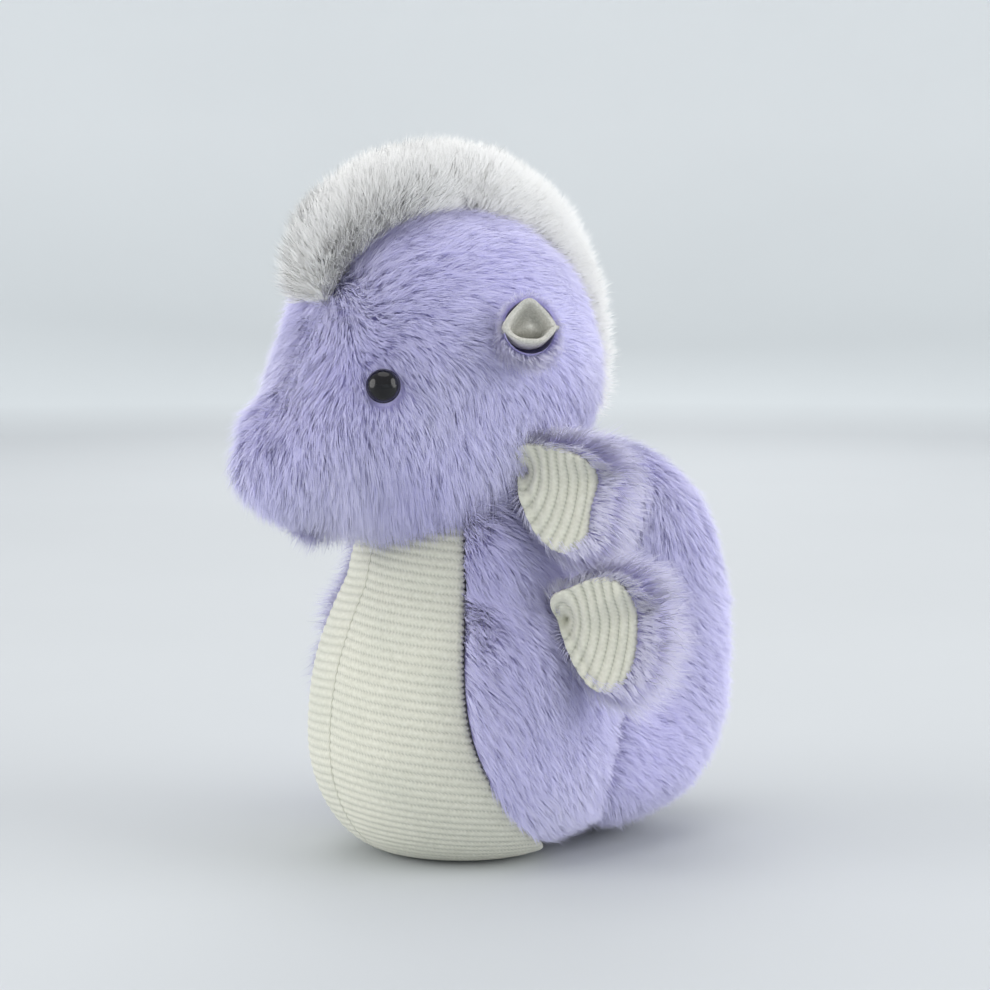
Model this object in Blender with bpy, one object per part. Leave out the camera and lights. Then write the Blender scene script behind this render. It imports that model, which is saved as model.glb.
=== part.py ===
"""A seated sea-horse soft toy: a fur head with a cream crest, a ribbed belly, a curled tail, four fins,
two ears and two glossy safety eyes, with its filling inside.

Metres, +Z up. The toy faces -Y, so its left side is +X. The ground is Z = 0.
"""

import math

import bmesh
import bpy
import numpy as np

MM = 0.001

# Fabrics. The pile counts at about half its height, as a hand or a shelf would press it.
FUR_THICK = 4.0 * MM
LINING_THICK = 1.6 * MM
BELLY_THICK = 2.6 * MM
SEAM_GAP = 0.6 * MM
FILL_GAP = 0.7 * MM

# Torso: a turned shape about a vertical axis, with a round top that the head sits on.
TORSO_Y = -10.51 * MM
BASE_RADIUS = 22 * MM
BELLY_RADIUS = 50 * MM
BELLY_HEIGHT = 38 * MM
NECK_RADIUS = 40 * MM
NECK_HEIGHT = 90 * MM
NECK_SET_BACK = 5 * MM
FLANK_FULLNESS = 2.4
NECK_CENTRE = (0, NECK_SET_BACK, NECK_HEIGHT)
SEAM_HOLE = 2.0 * MM
POUCH_TOP = 34 * MM
POUCH_MARGIN = 4 * MM
BELLY_COLUMNS = 6
BODY_COLUMNS = 9
FILLING_SEGMENTS = 24
BELLY_HALF_ANGLE = 52.0
BELLY_FLARE = 52.0
BELLY_FLARE_HEIGHT = 26 * MM
BELLY_SPLAY = 22.0
BELLY_SPLAY_HEIGHT = 5 * MM

# Head: four ellipsoids run together, as (centre, radii).
CRANIUM = ((0, -8 * MM, 161 * MM), (43 * MM, 49 * MM, 45 * MM))
MUZZLE = ((0, -37 * MM, 141 * MM), (33 * MM, 27 * MM, 27 * MM))
SNOUT = ((0, -60 * MM, 129 * MM), (18.5 * MM, 18.5 * MM, 18 * MM))
NAPE = ((0, 7 * MM, 147 * MM), (33 * MM, 33 * MM, 27 * MM))
HEAD_BLEND = 0.16
HEAD_SLIM = 0.003
HEAD_HEART = (0, -24 * MM, 150 * MM)
SNOUT_TURN = 208.0
SNOUT_CROWDING = 24.0
SOCKET_CLEARANCE = 0.9 * MM
BALL_SEGMENTS = 36

# Crest: a fur strip along the middle of the head, from the brow over the top and down the nape.
CREST_HALF_WIDTH = 10 * MM
CREST_TALL = 15 * MM
CREST_EDGE = 1.2 * MM
CREST_NAPE_SHARE = 0.4
CREST_FALL = (75.0, 5.0)
CREST_LIFT = 0.6 * MM
CREST_ARC_RADIUS = 52 * MM
CREST_END_WIDTH = 0.55
CREST_START = 136.0
CREST_END = -8.0

# Safety eyes: a glossy dome on a post, held by a washer behind the fabric.
EYE_DIRECTION = (26.0, -20.5, 1.8)
EYE_RADIUS = 4.8 * MM
EYE_DOME = 4.0 * MM
EYE_STAND_OFF = 0.9 * MM
POST_RADIUS = 1.6 * MM
POST_LENGTH = 11 * MM
WASHER_RADIUS = 6.0 * MM
WASHER_THICK = 1.5 * MM
WASHER_DEPTH = 6.4 * MM
HOLE_CLEARANCE = 0.4 * MM
HOLE_DEPTH = 14 * MM
HOLE_ABOVE = 6 * MM
WELL_CLEARANCE = 0.6 * MM
WELL_EXTRA_DEPTH = 1.5 * MM
EYE_SEGMENTS = 16
HOLE_SEGMENTS = 12

# Ears: cups of fur fabric with a lining, pinched at the root.
EAR_ROOT = (44.0 * MM, -4 * MM, 164 * MM)
EAR_AXIS = (0.86, -0.38, 0.34)
EAR_DEPTH = 11 * MM
EAR_MOUTH = 8.5 * MM
EAR_FUR = 3.0 * MM
EAR_SET_OUT = 6.0 * MM
EAR_POINT = 0.35
EAR_PINCH = 0.78

# Tail: a thick curl round a centre behind the torso, in the middle plane.
TAIL_CENTRE = (40 * MM, 70 * MM)
TAIL_PATH = 38 * MM
TAIL_PATH_DOWN = 45 * MM
TAIL_PATH_UP = 43 * MM
TAIL_SQUARENESS = 2.8
TAIL_TIP_PATH = 34 * MM
TAIL_HEART = 5 * MM
TAIL_RADIUS = 21.5 * MM
TAIL_HALF_WIDTH = 24 * MM
TAIL_ROOT_EXTRA = 17 * MM
TAIL_ROOT_END = 0.6
TAIL_CURL_START = 0.55
TAIL_TIP_NARROWING = 0.12
TAIL_TIP_ROUND = 1.15
TAIL_START = -106.0
TAIL_END = 112.0
TAIL_EVEN = 0.84
TAIL_CLEARANCE = 2.2 * MM
TAIL_HINGE_Y = 2 * MM

# Fins: (hinge angle round the torso, hinge height, leaf centre outwards, leaf centre upwards).
FINS = {
    "upper": (80.0, 121 * MM, 8.5 * MM, -7 * MM),
    "lower": (94.0, 76 * MM, 9.5 * MM, -2.5 * MM),
}
FIN_STAND_OFF = 9.5 * MM
FIN_SWEEP = 40.0
FIN_HALF_LENGTH = 13 * MM
FIN_HALF_HEIGHT = 19.5 * MM
FIN_FUR_EXTRA = 2.0 * MM
FIN_CUP = 2.5 * MM
FIN_NARROWING = 0.20

SHARP_ANGLE = 35.0
SIDES = {"left": 1, "right": -1}


def clear_scene():
    for old in list(bpy.data.objects):
        bpy.data.objects.remove(old, do_unlink=True)


def material(name, colour, roughness):
    made = bpy.data.materials.new(name)
    made.use_nodes = True
    shader = made.node_tree.nodes["Principled BSDF"]
    shader.inputs["Base Color"].default_value = (*colour, 1)
    shader.inputs["Roughness"].default_value = roughness
    shader.inputs["Metallic"].default_value = 0
    return made


def unit(vector):
    vector = np.asarray(vector, float)
    return vector / np.linalg.norm(vector, axis=-1, keepdims=True)


def pivot(name, place):
    """An empty on a joint's axis, which carries the pieces that turn about it."""
    empty = bpy.data.objects.new(name, None)
    empty.empty_display_size = 10 * MM
    empty.location = (place[0], place[1] + TORSO_Y, place[2])
    bpy.context.scene.collection.objects.link(empty)
    return empty


def add_object(name, points, faces, look, parent=None, side=1):
    """A closed mesh in the torso's frame, facing out, and mirrored to the right side when side is -1."""
    points = np.array(points, float) * (side, 1, 1) + (0, TORSO_Y, 0)
    if parent:
        points = points - np.array(parent.location)
    mesh = bpy.data.meshes.new(name)
    shape = bmesh.new()
    corners = [shape.verts.new(point) for point in points]
    for face in faces:
        shape.faces.new([corners[i] for i in face])
    bmesh.ops.remove_doubles(shape, verts=shape.verts, dist=1e-7)
    bmesh.ops.triangulate(shape, faces=shape.faces)
    bmesh.ops.recalc_face_normals(shape, faces=shape.faces)
    if shape.calc_volume(signed=True) < 0:
        bmesh.ops.reverse_faces(shape, faces=shape.faces)
    shape.to_mesh(mesh)
    shape.free()
    mesh.materials.append(look)
    mesh.shade_smooth()
    mesh.set_sharp_from_angle(angle=math.radians(SHARP_ANGLE))
    made = bpy.data.objects.new(name, mesh)
    bpy.context.scene.collection.objects.link(made)
    made.parent = parent
    return made


def cutter(name, points, faces):
    made = add_object(name, points, faces, LOOKS["fill"])
    made.hide_render = True
    made.display_type = "WIRE"
    return made


def cut(target, tool):
    modifier = target.modifiers.new("cut", "BOOLEAN")
    modifier.operation = "DIFFERENCE"
    modifier.solver = "EXACT"
    modifier.object = tool


def between(outer, inner, wrap):
    """The points and faces of a solid between two matching grids. wrap joins the last column to the first."""
    outer, inner = np.asarray(outer), np.asarray(inner)
    rows, columns = outer.shape[:2]
    count = rows * columns
    steps = columns if wrap else columns - 1
    faces = []
    for row in range(rows - 1):
        for column in range(steps):
            following = (column + 1) % columns
            corners = [
                row * columns + column,
                row * columns + following,
                (row + 1) * columns + following,
                (row + 1) * columns + column,
            ]
            faces.append(corners)
            faces.append([count + i for i in reversed(corners)])
    for edge in (0, (rows - 1) * columns):
        for column in range(steps):
            ends = (edge + column, edge + (column + 1) % columns)
            faces.append([ends[0], ends[1], count + ends[1], count + ends[0]])
    if not wrap:
        for edge in (0, columns - 1):
            for row in range(rows - 1):
                ends = (row * columns + edge, (row + 1) * columns + edge)
                faces.append([ends[0], ends[1], count + ends[1], count + ends[0]])
    points = np.concatenate([outer.reshape(-1, 3), inner.reshape(-1, 3)])
    return drop_flat(points, faces)


def drop_flat(points, faces):
    """The same points with each face's repeated corners dropped, and no face left without an area."""
    keys = {}
    first = [keys.setdefault(tuple(np.round(point, 8)), i) for i, point in enumerate(points)]
    kept = []
    for face in faces:
        corners = [first[i] for i in face]
        corners = [c for i, c in enumerate(corners) if c != corners[i - 1]]
        if len(set(corners)) == len(corners) >= 3:
            kept.append(corners)
    used = sorted({corner for face in kept for corner in face})
    order = {corner: i for i, corner in enumerate(used)}
    return points[used], [[order[corner] for corner in face] for face in kept]


def tube(rows):
    """The points and faces of a solid through closed rings of points, with flat or pointed ends."""
    rows = np.asarray(rows)
    count, columns = rows.shape[:2]
    faces = [[column for column in range(columns)], [(count - 1) * columns + i for i in range(columns)]]
    for row in range(count - 1):
        for column in range(columns):
            following = (column + 1) % columns
            faces.append(
                [
                    row * columns + column,
                    row * columns + following,
                    (row + 1) * columns + following,
                    (row + 1) * columns + column,
                ]
            )
    return drop_flat(rows.reshape(-1, 3), faces)


def turned(outline, segments, centre, axis):
    """A solid of revolution: outline is (radius, distance along the axis) pairs from one end to the other."""
    axis = unit(axis)
    side = unit(np.cross(axis, (0.0, 1.0, 0.31)))
    other = np.cross(axis, side)
    angles = np.linspace(0, 2 * math.pi, segments, endpoint=False)
    ring = np.cos(angles)[:, None] * side + np.sin(angles)[:, None] * other
    return tube([np.asarray(centre) + ring * radius + axis * along for radius, along in outline])


# Torso


def torso_profile(inset):
    """(radius, height) down the torso's side, from the base to the top, moved inwards by inset."""
    points = [(SEAM_HOLE, 0.0, 0.0, -1.0), (BASE_RADIUS * 0.6, 0.0, 0.0, -1.0)]
    swell = BELLY_RADIUS - BASE_RADIUS
    for angle in np.linspace(0, math.pi / 2, 7):
        across, down = BELLY_HEIGHT * math.sin(angle), -swell * math.cos(angle)
        length = math.hypot(across, down)
        radius = BASE_RADIUS + swell * math.sin(angle)
        points.append((radius, BELLY_HEIGHT * (1 - math.cos(angle)), across / length, down / length))
    taper = (BELLY_RADIUS - NECK_RADIUS) / 2
    rise = NECK_HEIGHT - BELLY_HEIGHT
    for share in np.linspace(0.2, 1, 5):
        turn = math.pi * share**FLANK_FULLNESS
        radius = NECK_RADIUS + taper + taper * math.cos(turn)
        slope = -taper * math.sin(turn) * math.pi * FLANK_FULLNESS * share ** (FLANK_FULLNESS - 1) / rise
        length = math.hypot(1, slope)
        points.append((radius, BELLY_HEIGHT + rise * share, 1 / length, -slope / length))
    last = math.acos(SEAM_HOLE / NECK_RADIUS)
    for angle in np.linspace(last / 6, last, 6):
        across, up = math.cos(angle), math.sin(angle)
        points.append((NECK_RADIUS * across, NECK_HEIGHT + NECK_RADIUS * up, across, up))
    return [(max(r - inset * across, SEAM_HOLE), z - inset * up) for r, z, across, up in points]


def leaned(points):
    """The same points set back where they are high, because the torso leans back towards its neck."""
    points = np.array(points, float)
    rise = np.clip((points[..., 2] - BELLY_HEIGHT) / (NECK_HEIGHT - BELLY_HEIGHT), 0, 1)
    points[..., 1] += NECK_SET_BACK * rise * rise * (3 - 2 * rise)
    return points


def belly_edge(height):
    """The angle from the front, in degrees, at which the ribbed belly meets the fur."""
    flare = BELLY_FLARE * math.exp(-height / BELLY_FLARE_HEIGHT)
    return BELLY_HALF_ANGLE + flare + BELLY_SPLAY * math.exp(-height / BELLY_SPLAY_HEIGHT)


def torso_panel(inset, first, last, columns):
    """A grid on the torso between two seams. first and last give each seam's angle in degrees at a height."""
    grid = []
    outer = torso_profile(0)
    for (radius, height), (_, seam_height) in zip(torso_profile(inset), outer):
        seam = math.asin(min(SEAM_GAP / 2 / radius, 0.5))
        start = math.radians(first(seam_height)) + seam
        stop = math.radians(last(seam_height)) - seam
        angles = np.linspace(start, stop, columns)
        row = np.stack([radius * np.sin(angles), -radius * np.cos(angles), np.full(columns, height)], 1)
        grid.append(row)
    return grid


def make_torso():
    seams = {
        "belly_panel": (lambda height: 0.0, belly_edge, BELLY_COLUMNS, BELLY_THICK, LOOKS["knit"]),
        "body_fur": (belly_edge, lambda height: 180.0, BODY_COLUMNS, FUR_THICK, LOOKS["fur"]),
    }
    for part, (first, last, columns, thick, look) in seams.items():
        for side_name, side in SIDES.items():
            outer = torso_panel(0, first, last, columns)
            inner = torso_panel(thick, first, last, columns)
            points, faces = between(outer, inner, wrap=False)
            add_object(f"{part}_{side_name}", leaned(points), faces, look, side=side)
    fill = torso_profile(FUR_THICK + FILL_GAP)
    lower = [(0, fill[0][1])] + [point for point in fill[1:] if point[1] < POUCH_TOP - POUCH_MARGIN]
    waist = radius_at(fill, POUCH_TOP)
    lower += [(waist, POUCH_TOP), (0, POUCH_TOP)]
    upper = [(0, POUCH_TOP + FILL_GAP), (waist, POUCH_TOP + FILL_GAP)]
    upper += [point for point in fill[:-1] if point[1] > POUCH_TOP + POUCH_MARGIN] + [(0, fill[-1][1])]
    for name, outline, look in (
        ("pellet_pouch", lower, LOOKS["pouch"]),
        ("body_filling", upper, LOOKS["fill"]),
    ):
        points, faces = turned(outline, FILLING_SEGMENTS, (0, 0, 0), (0, 0, 1))
        add_object(name, leaned(points), faces, look)


def radius_at(profile, height):
    radii, heights = zip(*profile)
    return float(np.interp(height, heights, radii))


# Head


def head_field(points):
    """Below zero inside the head's surface, above zero outside it."""
    total = 0
    for centre, radii in (CRANIUM, MUZZLE, SNOUT, NAPE):
        reach = np.linalg.norm((points - centre) / np.array(radii), axis=-1)
        total = total + np.exp(-(reach - 1) / HEAD_BLEND)
    return HEAD_SLIM - HEAD_BLEND * np.log(total)


def head_normal(point):
    """The direction straight out of the head's surface at a point on it."""
    steps = np.eye(3) * 0.05 * MM
    return unit([head_field(point + step) - head_field(point - step) for step in steps])


def head_reach(directions):
    """How far the head's surface lies from its heart along each direction."""
    heart = np.array(HEAD_HEART)
    low = np.full(directions.shape[:-1], 5 * MM)
    high = np.full(directions.shape[:-1], 120 * MM)
    for _ in range(40):
        middle = (low + high) / 2
        inside = head_field(heart + directions * middle[..., None]) < 0
        low = np.where(inside, middle, low)
        high = np.where(inside, high, middle)
    return (low + high) / 2


def head_directions(turns, leans):
    """Unit vectors: turn runs round the X axis from the back over the top, and lean tips towards +X."""
    turns, leans = np.radians(turns)[None, :], np.radians(leans)[:, None]
    return np.stack(
        [
            np.sin(leans) + 0 * turns,
            np.cos(leans) * np.cos(turns),
            np.cos(leans) * np.sin(turns),
        ],
        -1,
    )


def snout_turns(count):
    """Turns round the head that crowd together towards the snout, which is the smallest curve."""
    steps = np.linspace(0, 360, count, endpoint=False)
    return steps - SNOUT_CROWDING * np.sin(np.radians(steps - SNOUT_TURN))


def head_point(directions, height):
    heart = np.array(HEAD_HEART)
    return heart + directions * (head_reach(directions) + height)[..., None]


def make_head(carrier):
    turns = snout_turns(28)
    leans = np.concatenate([np.linspace(0, 50, 7), np.linspace(62, 90, 4)])
    directions = head_directions(turns, leans)
    outer, inner = head_point(directions, 0), head_point(directions, -FUR_THICK)
    for grid in (outer, inner):
        grid[0, :, 0] = SEAM_GAP / 2
    points, faces = between(outer, inner, wrap=True)
    ball_radius = NECK_RADIUS + SOCKET_CLEARANCE
    ball = [
        (ball_radius * math.sin(angle), -ball_radius * math.cos(angle))
        for angle in np.linspace(0, math.pi, 17)
    ]
    socket = cutter("socket_cutter", *turned(ball, BALL_SEGMENTS, NECK_CENTRE, (1, 0, 0)))
    eye_spot = head_point(unit(EYE_DIRECTION), 0)
    eye_axis = head_normal(eye_spot)
    eye_seat = eye_spot + eye_axis * EYE_STAND_OFF
    for side_name, side in SIDES.items():
        mirror = np.array([side, 1, 1])
        skin = add_object(f"head_fur_{side_name}", points, faces, LOOKS["fur"], carrier, side)
        cut(skin, socket)
        bore = [(POST_RADIUS + HOLE_CLEARANCE, depth) for depth in (-HOLE_DEPTH, HOLE_ABOVE)]
        hole = cutter(
            f"eye_hole_cutter_{side_name}", *turned(bore, HOLE_SEGMENTS, eye_seat * mirror, eye_axis * mirror)
        )
        cut(skin, hole)
        make_eye(side_name, eye_seat * mirror, eye_axis * mirror, carrier)
    leans = np.concatenate([-leans[:0:-1], leans])
    rings = head_point(head_directions(turns, leans), -FUR_THICK - FILL_GAP)
    filling = add_object("head_filling", *tube(rings), LOOKS["fill"], carrier)
    cut(filling, socket)
    for side_name, side in SIDES.items():
        mirror = np.array([side, 1, 1])
        floor = -POST_LENGTH - WELL_EXTRA_DEPTH
        well = [(WASHER_RADIUS + WELL_CLEARANCE, depth) for depth in (floor, HOLE_ABOVE)]
        pocket_shape = turned(well, EYE_SEGMENTS, eye_seat * mirror, eye_axis * mirror)
        pocket = cutter(f"washer_pocket_cutter_{side_name}", *pocket_shape)
        cut(filling, pocket)


def make_eye(side_name, seat, axis, carrier):
    dome = [
        (EYE_RADIUS * math.cos(angle), EYE_DOME * math.sin(angle))
        for angle in np.linspace(0, math.pi / 2, 6)
    ]
    post = [(0, -POST_LENGTH), (POST_RADIUS, -POST_LENGTH), (POST_RADIUS, 0)]
    add_object(f"eye_{side_name}", *turned(post + dome, EYE_SEGMENTS, seat, axis), LOOKS["eye"], carrier)
    bore = POST_RADIUS + HOLE_CLEARANCE
    near, far = -WASHER_DEPTH, -WASHER_DEPTH - WASHER_THICK
    rim = [(bore, near), (WASHER_RADIUS, near), (WASHER_RADIUS, far), (bore, far), (bore, near)]
    points, faces = washer(rim, EYE_SEGMENTS, seat, axis)
    add_object(f"eye_washer_{side_name}", points, faces, LOOKS["washer"], carrier)


def washer(rim, segments, centre, axis):
    """A ring: the closed rim outline turned once round the axis."""
    axis = unit(axis)
    side = unit(np.cross(axis, (0.0, 1.0, 0.31)))
    other = np.cross(axis, side)
    angles = np.linspace(0, 2 * math.pi, segments, endpoint=False)
    spokes = np.cos(angles)[:, None] * side + np.sin(angles)[:, None] * other
    loops = [np.asarray(centre) + spokes * radius + axis * along for radius, along in rim[:-1]]
    columns, count = segments, len(loops)
    faces = []
    for row in range(count):
        following_row = (row + 1) % count
        for column in range(columns):
            following = (column + 1) % columns
            faces.append(
                [
                    row * columns + column,
                    row * columns + following,
                    following_row * columns + following,
                    following_row * columns + column,
                ]
            )
    return np.concatenate(loops), faces


def make_crest(carrier):
    turns = np.linspace(CREST_START, CREST_END, 21)
    across = np.linspace(-1, 1, 5)
    ends = np.sqrt(np.clip(1 - np.abs(np.linspace(-1, 1, 21)) ** 6, 0.05, 1))
    outer, inner = [], []
    for turn, end in zip(turns, ends):
        half_width = CREST_HALF_WIDTH * (CREST_END_WIDTH + (1 - CREST_END_WIDTH) * end)
        spread = np.degrees(half_width / CREST_ARC_RADIUS)
        directions = head_directions(np.array([turn]), across * spread)[:, 0]
        above = np.clip((turn - CREST_FALL[1]) / (CREST_FALL[0] - CREST_FALL[1]), 0, 1)
        fall = CREST_NAPE_SHARE + (1 - CREST_NAPE_SHARE) * above * above * (3 - 2 * above)
        tall = CREST_EDGE + CREST_TALL * fall * end * np.sqrt(1 - across**2)
        inner.append(head_point(directions, CREST_LIFT))
        outer.append(head_point(directions, CREST_LIFT + tall))
    points, faces = between(outer, inner, wrap=False)
    add_object("crest_fur", points, faces, LOOKS["cream_fur"], carrier)


def make_ears():
    for side_name, side in SIDES.items():
        carrier = pivot(f"ear_pivot_{side_name}", np.array(EAR_ROOT) * (side, 1, 1))
        for part, start, thick, look in (
            ("ear_lining", 0.0, LINING_THICK, LOOKS["suede"]),
            ("ear_fur", LINING_THICK + SEAM_GAP, EAR_FUR, LOOKS["fur"]),
        ):
            inner = ear_cup(start)
            outer = ear_cup(start + thick)
            points, faces = between(outer, inner, wrap=True)
            add_object(f"{part}_{side_name}", points, faces, look, carrier, side)


def ear_cup(swell):
    """A grid of rings from the cup's bottom to its mouth, whose upper lip runs on into a point."""
    axis = unit(EAR_AXIS)
    forward = unit(np.cross((0, 0, 1), axis))
    upward = np.cross(axis, forward)
    root = np.array(EAR_ROOT)
    rows = []
    for share in np.linspace(0, 1, 5):
        around = np.linspace(0, 2 * math.pi, 12, endpoint=False)
        bulge = (EAR_MOUTH + swell) * math.sin(share * math.pi / 2)
        lip = 1 + EAR_POINT * np.clip(np.cos(around), 0, 1) ** 2
        depth = (EAR_DEPTH + swell) * (1 - math.cos(share * math.pi / 2)) * lip - swell
        pinch = EAR_PINCH * bulge
        ring = root + axis * (EAR_SET_OUT + depth)[:, None]
        ring = ring + upward * (bulge * np.cos(around))[:, None] + forward * (pinch * np.sin(around))[:, None]
        rows.append(ring)
    return rows


# Tail


def tail_ring(share, around, inset):
    """A ring of the tail at a share of its length, moved inwards by inset."""
    length = math.radians(TAIL_END - TAIL_START) - inset / TAIL_PATH
    angle = math.radians(TAIL_START) + length * share
    curl = max(0.0, (share - TAIL_CURL_START) / (1 - TAIL_CURL_START))
    narrowing = 1 - TAIL_TIP_NARROWING * curl
    back = TAIL_PATH + (TAIL_TIP_PATH - TAIL_PATH) * curl**2
    rise = (TAIL_PATH_UP - TAIL_PATH) * math.sin(angle) ** 2
    down = TAIL_PATH_DOWN if angle < 0 else back + rise
    outward = np.array([0, math.cos(angle), math.sin(angle)])
    square = (np.abs(outward) ** TAIL_SQUARENESS).sum() ** (-1 / TAIL_SQUARENESS)
    spoke = np.array([0, back, down]) * outward * square
    left = (1 - share) * length * TAIL_PATH / (TAIL_RADIUS - inset)
    tip = math.sqrt(max(0.0, 1 - (1 - min(left / TAIL_TIP_ROUND, 1)) ** 2))
    rim = (TAIL_RADIUS * narrowing - inset) * tip
    heart = (np.linalg.norm(spoke) - TAIL_HEART - inset) * tip
    root = max(0.0, 1 - share / TAIL_ROOT_END)
    wide = (TAIL_HALF_WIDTH * narrowing + TAIL_ROOT_EXTRA * root * root * (3 - 2 * root) - inset) * tip
    depth = np.where(np.cos(around) > 0, rim, heart) * np.cos(around)
    across = np.stack([np.sin(around) * wide, 0 * around, 0 * around], -1)
    return np.array([0, *TAIL_CENTRE]) + spoke + depth[:, None] * outward + across


def make_tail():
    carrier = pivot("tail_pivot", (0, TAIL_HINGE_Y, TAIL_CENTRE[1]))
    torso = [(0, -2 * TAIL_CLEARANCE)]
    torso += torso_profile(-TAIL_CLEARANCE)[1:-1]
    torso += [(0, NECK_HEIGHT + NECK_RADIUS + TAIL_CLEARANCE)]
    points, faces = turned(torso, BALL_SEGMENTS, (0, 0, 0), (0, 0, 1))
    tool = cutter("torso_cutter", leaned(points), faces)
    rounding = np.sin(np.linspace(0.3, math.pi / 2, 5))
    shares = np.concatenate([np.linspace(0, TAIL_EVEN, 15), TAIL_EVEN + (1 - TAIL_EVEN) * rounding])
    half = np.linspace(0, math.pi, 9)
    grids = []
    for inset in (0, FUR_THICK):
        grid = np.array([tail_ring(share, half, inset) for share in shares])
        grid[..., 0] = np.maximum(grid[..., 0], SEAM_GAP / 2)
        grids.append(grid)
    points, faces = between(*grids, wrap=False)
    for side_name, side in SIDES.items():
        skin = add_object(f"tail_fur_{side_name}", points, faces, LOOKS["fur"], carrier, side)
        cut(skin, tool)
    around = np.linspace(0, 2 * math.pi, 16, endpoint=False)
    rings = [tail_ring(share, around, FUR_THICK + FILL_GAP) for share in shares]
    filling = add_object("tail_filling", *tube(rings), LOOKS["fill"], carrier)
    cut(filling, tool)


# Fins


def fin_leaf(extra, outwards, upwards):
    """(outwards, upwards) points round a leaf that narrows towards its root, as rings from its middle."""
    around = np.linspace(0, 2 * math.pi, 16, endpoint=False)
    long_half, tall_half = FIN_HALF_LENGTH + extra, FIN_HALF_HEIGHT + extra
    narrowing = 1 - FIN_NARROWING * (1 - np.cos(around))
    along = long_half * np.cos(around)
    up = tall_half * np.sin(around) * narrowing
    rings = np.array([0, 0.6, 1])[:, None]
    return outwards + extra * 0.8 + along * rings, upwards + up * rings


def make_fins():
    for level, (turn, height, outwards, upwards) in FINS.items():
        reach = radius_at(torso_profile(0), height + upwards) + FIN_STAND_OFF
        turn = math.radians(turn)
        hinge = leaned([reach * math.sin(turn), -reach * math.cos(turn), height])
        sweep = math.radians(FIN_SWEEP)
        along = np.array([math.cos(sweep), math.sin(sweep), 0])
        front = np.array([math.sin(sweep), -math.cos(sweep), 0])
        layers = (
            ("lining", 0.0, 0.0, LINING_THICK, LOOKS["knit"]),
            ("fur", FIN_FUR_EXTRA, -SEAM_GAP - FUR_THICK, FUR_THICK, LOOKS["fur"]),
        )
        for side_name, side in SIDES.items():
            carrier = pivot(f"fin_{level}_pivot_{side_name}", hinge * (side, 1, 1))
            for part, extra, start, thick, look in layers:
                out, up = fin_leaf(extra, outwards, upwards)
                cup = FIN_CUP * ((up - upwards) / FIN_HALF_HEIGHT) ** 2
                flat = hinge + along * out[..., None] + np.array([0, 0, 1]) * up[..., None]
                back = flat + front * (cup + start)[..., None]
                points, faces = between(back + front * thick, back, wrap=True)
                add_object(f"fin_{level}_{part}_{side_name}", points, faces, look, carrier, side)


clear_scene()
LOOKS = {
    "fur": material("lilac_fur", (0.42, 0.38, 0.68), 0.95),
    "cream_fur": material("cream_fur", (0.80, 0.78, 0.70), 0.95),
    "knit": material("ribbed_knit", (0.74, 0.73, 0.62), 0.9),
    "suede": material("ear_suede", (0.55, 0.53, 0.47), 0.9),
    "eye": material("black_gloss", (0.01, 0.01, 0.012), 0.06),
    "washer": material("white_plastic", (0.8, 0.8, 0.8), 0.5),
    "fill": material("fibre_filling", (0.88, 0.88, 0.88), 1.0),
    "pouch": material("pellet_pouch_cloth", (0.75, 0.75, 0.72), 0.9),
}
make_torso()
head_carrier = pivot("head_pivot", NECK_CENTRE)
make_head(head_carrier)
make_crest(head_carrier)
make_ears()
make_tail()
make_fins()
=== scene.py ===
import math

import bpy
import numpy as np
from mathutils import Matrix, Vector
from mathutils.kdtree import KDTree


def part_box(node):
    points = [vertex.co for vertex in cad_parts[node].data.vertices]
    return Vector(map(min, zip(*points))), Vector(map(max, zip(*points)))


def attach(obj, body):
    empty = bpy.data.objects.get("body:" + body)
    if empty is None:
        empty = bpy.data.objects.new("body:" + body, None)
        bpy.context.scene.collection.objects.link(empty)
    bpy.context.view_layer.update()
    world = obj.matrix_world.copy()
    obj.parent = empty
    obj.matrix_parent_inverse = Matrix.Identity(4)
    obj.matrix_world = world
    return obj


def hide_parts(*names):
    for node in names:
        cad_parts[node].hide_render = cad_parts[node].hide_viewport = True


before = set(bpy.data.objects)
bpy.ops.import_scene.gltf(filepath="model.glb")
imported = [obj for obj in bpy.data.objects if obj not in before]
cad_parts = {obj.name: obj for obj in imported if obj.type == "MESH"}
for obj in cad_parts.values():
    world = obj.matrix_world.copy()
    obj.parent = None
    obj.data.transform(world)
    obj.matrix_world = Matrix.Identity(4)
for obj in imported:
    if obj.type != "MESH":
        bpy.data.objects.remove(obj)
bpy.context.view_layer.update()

MM = 0.001
RANDOM = np.random.default_rng(11)
SIDES = {"left": 1, "right": -1}

# The torso's axis stands where its pellet pouch does, and the other places are measured from it.
POUCH_LOW, POUCH_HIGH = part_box("pellet_pouch")
TORSO_Y = (POUCH_LOW.y + POUCH_HIGH.y) / 2

# Torso: the same turned shape as the CAD's.
BASE_RADIUS = 22 * MM
BELLY_RADIUS = 50 * MM
BELLY_HEIGHT = 38 * MM
NECK_RADIUS = 40 * MM
NECK_HEIGHT = 90 * MM
NECK_SET_BACK = 5 * MM
NECK_CLEARANCE = 1.2 * MM
FLANK_FULLNESS = 2.4
NECK_CENTRE = np.array([0, NECK_SET_BACK, NECK_HEIGHT])
BELLY_HALF_ANGLE = 50.5
BELLY_FLARE = 53.0
BELLY_FLARE_HEIGHT = 26 * MM
BELLY_SPLAY = 22.0
BELLY_SPLAY_HEIGHT = 5 * MM
HAUNCH_SHARE = 0.35
HAUNCH_LIFT = 5 * MM

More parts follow.
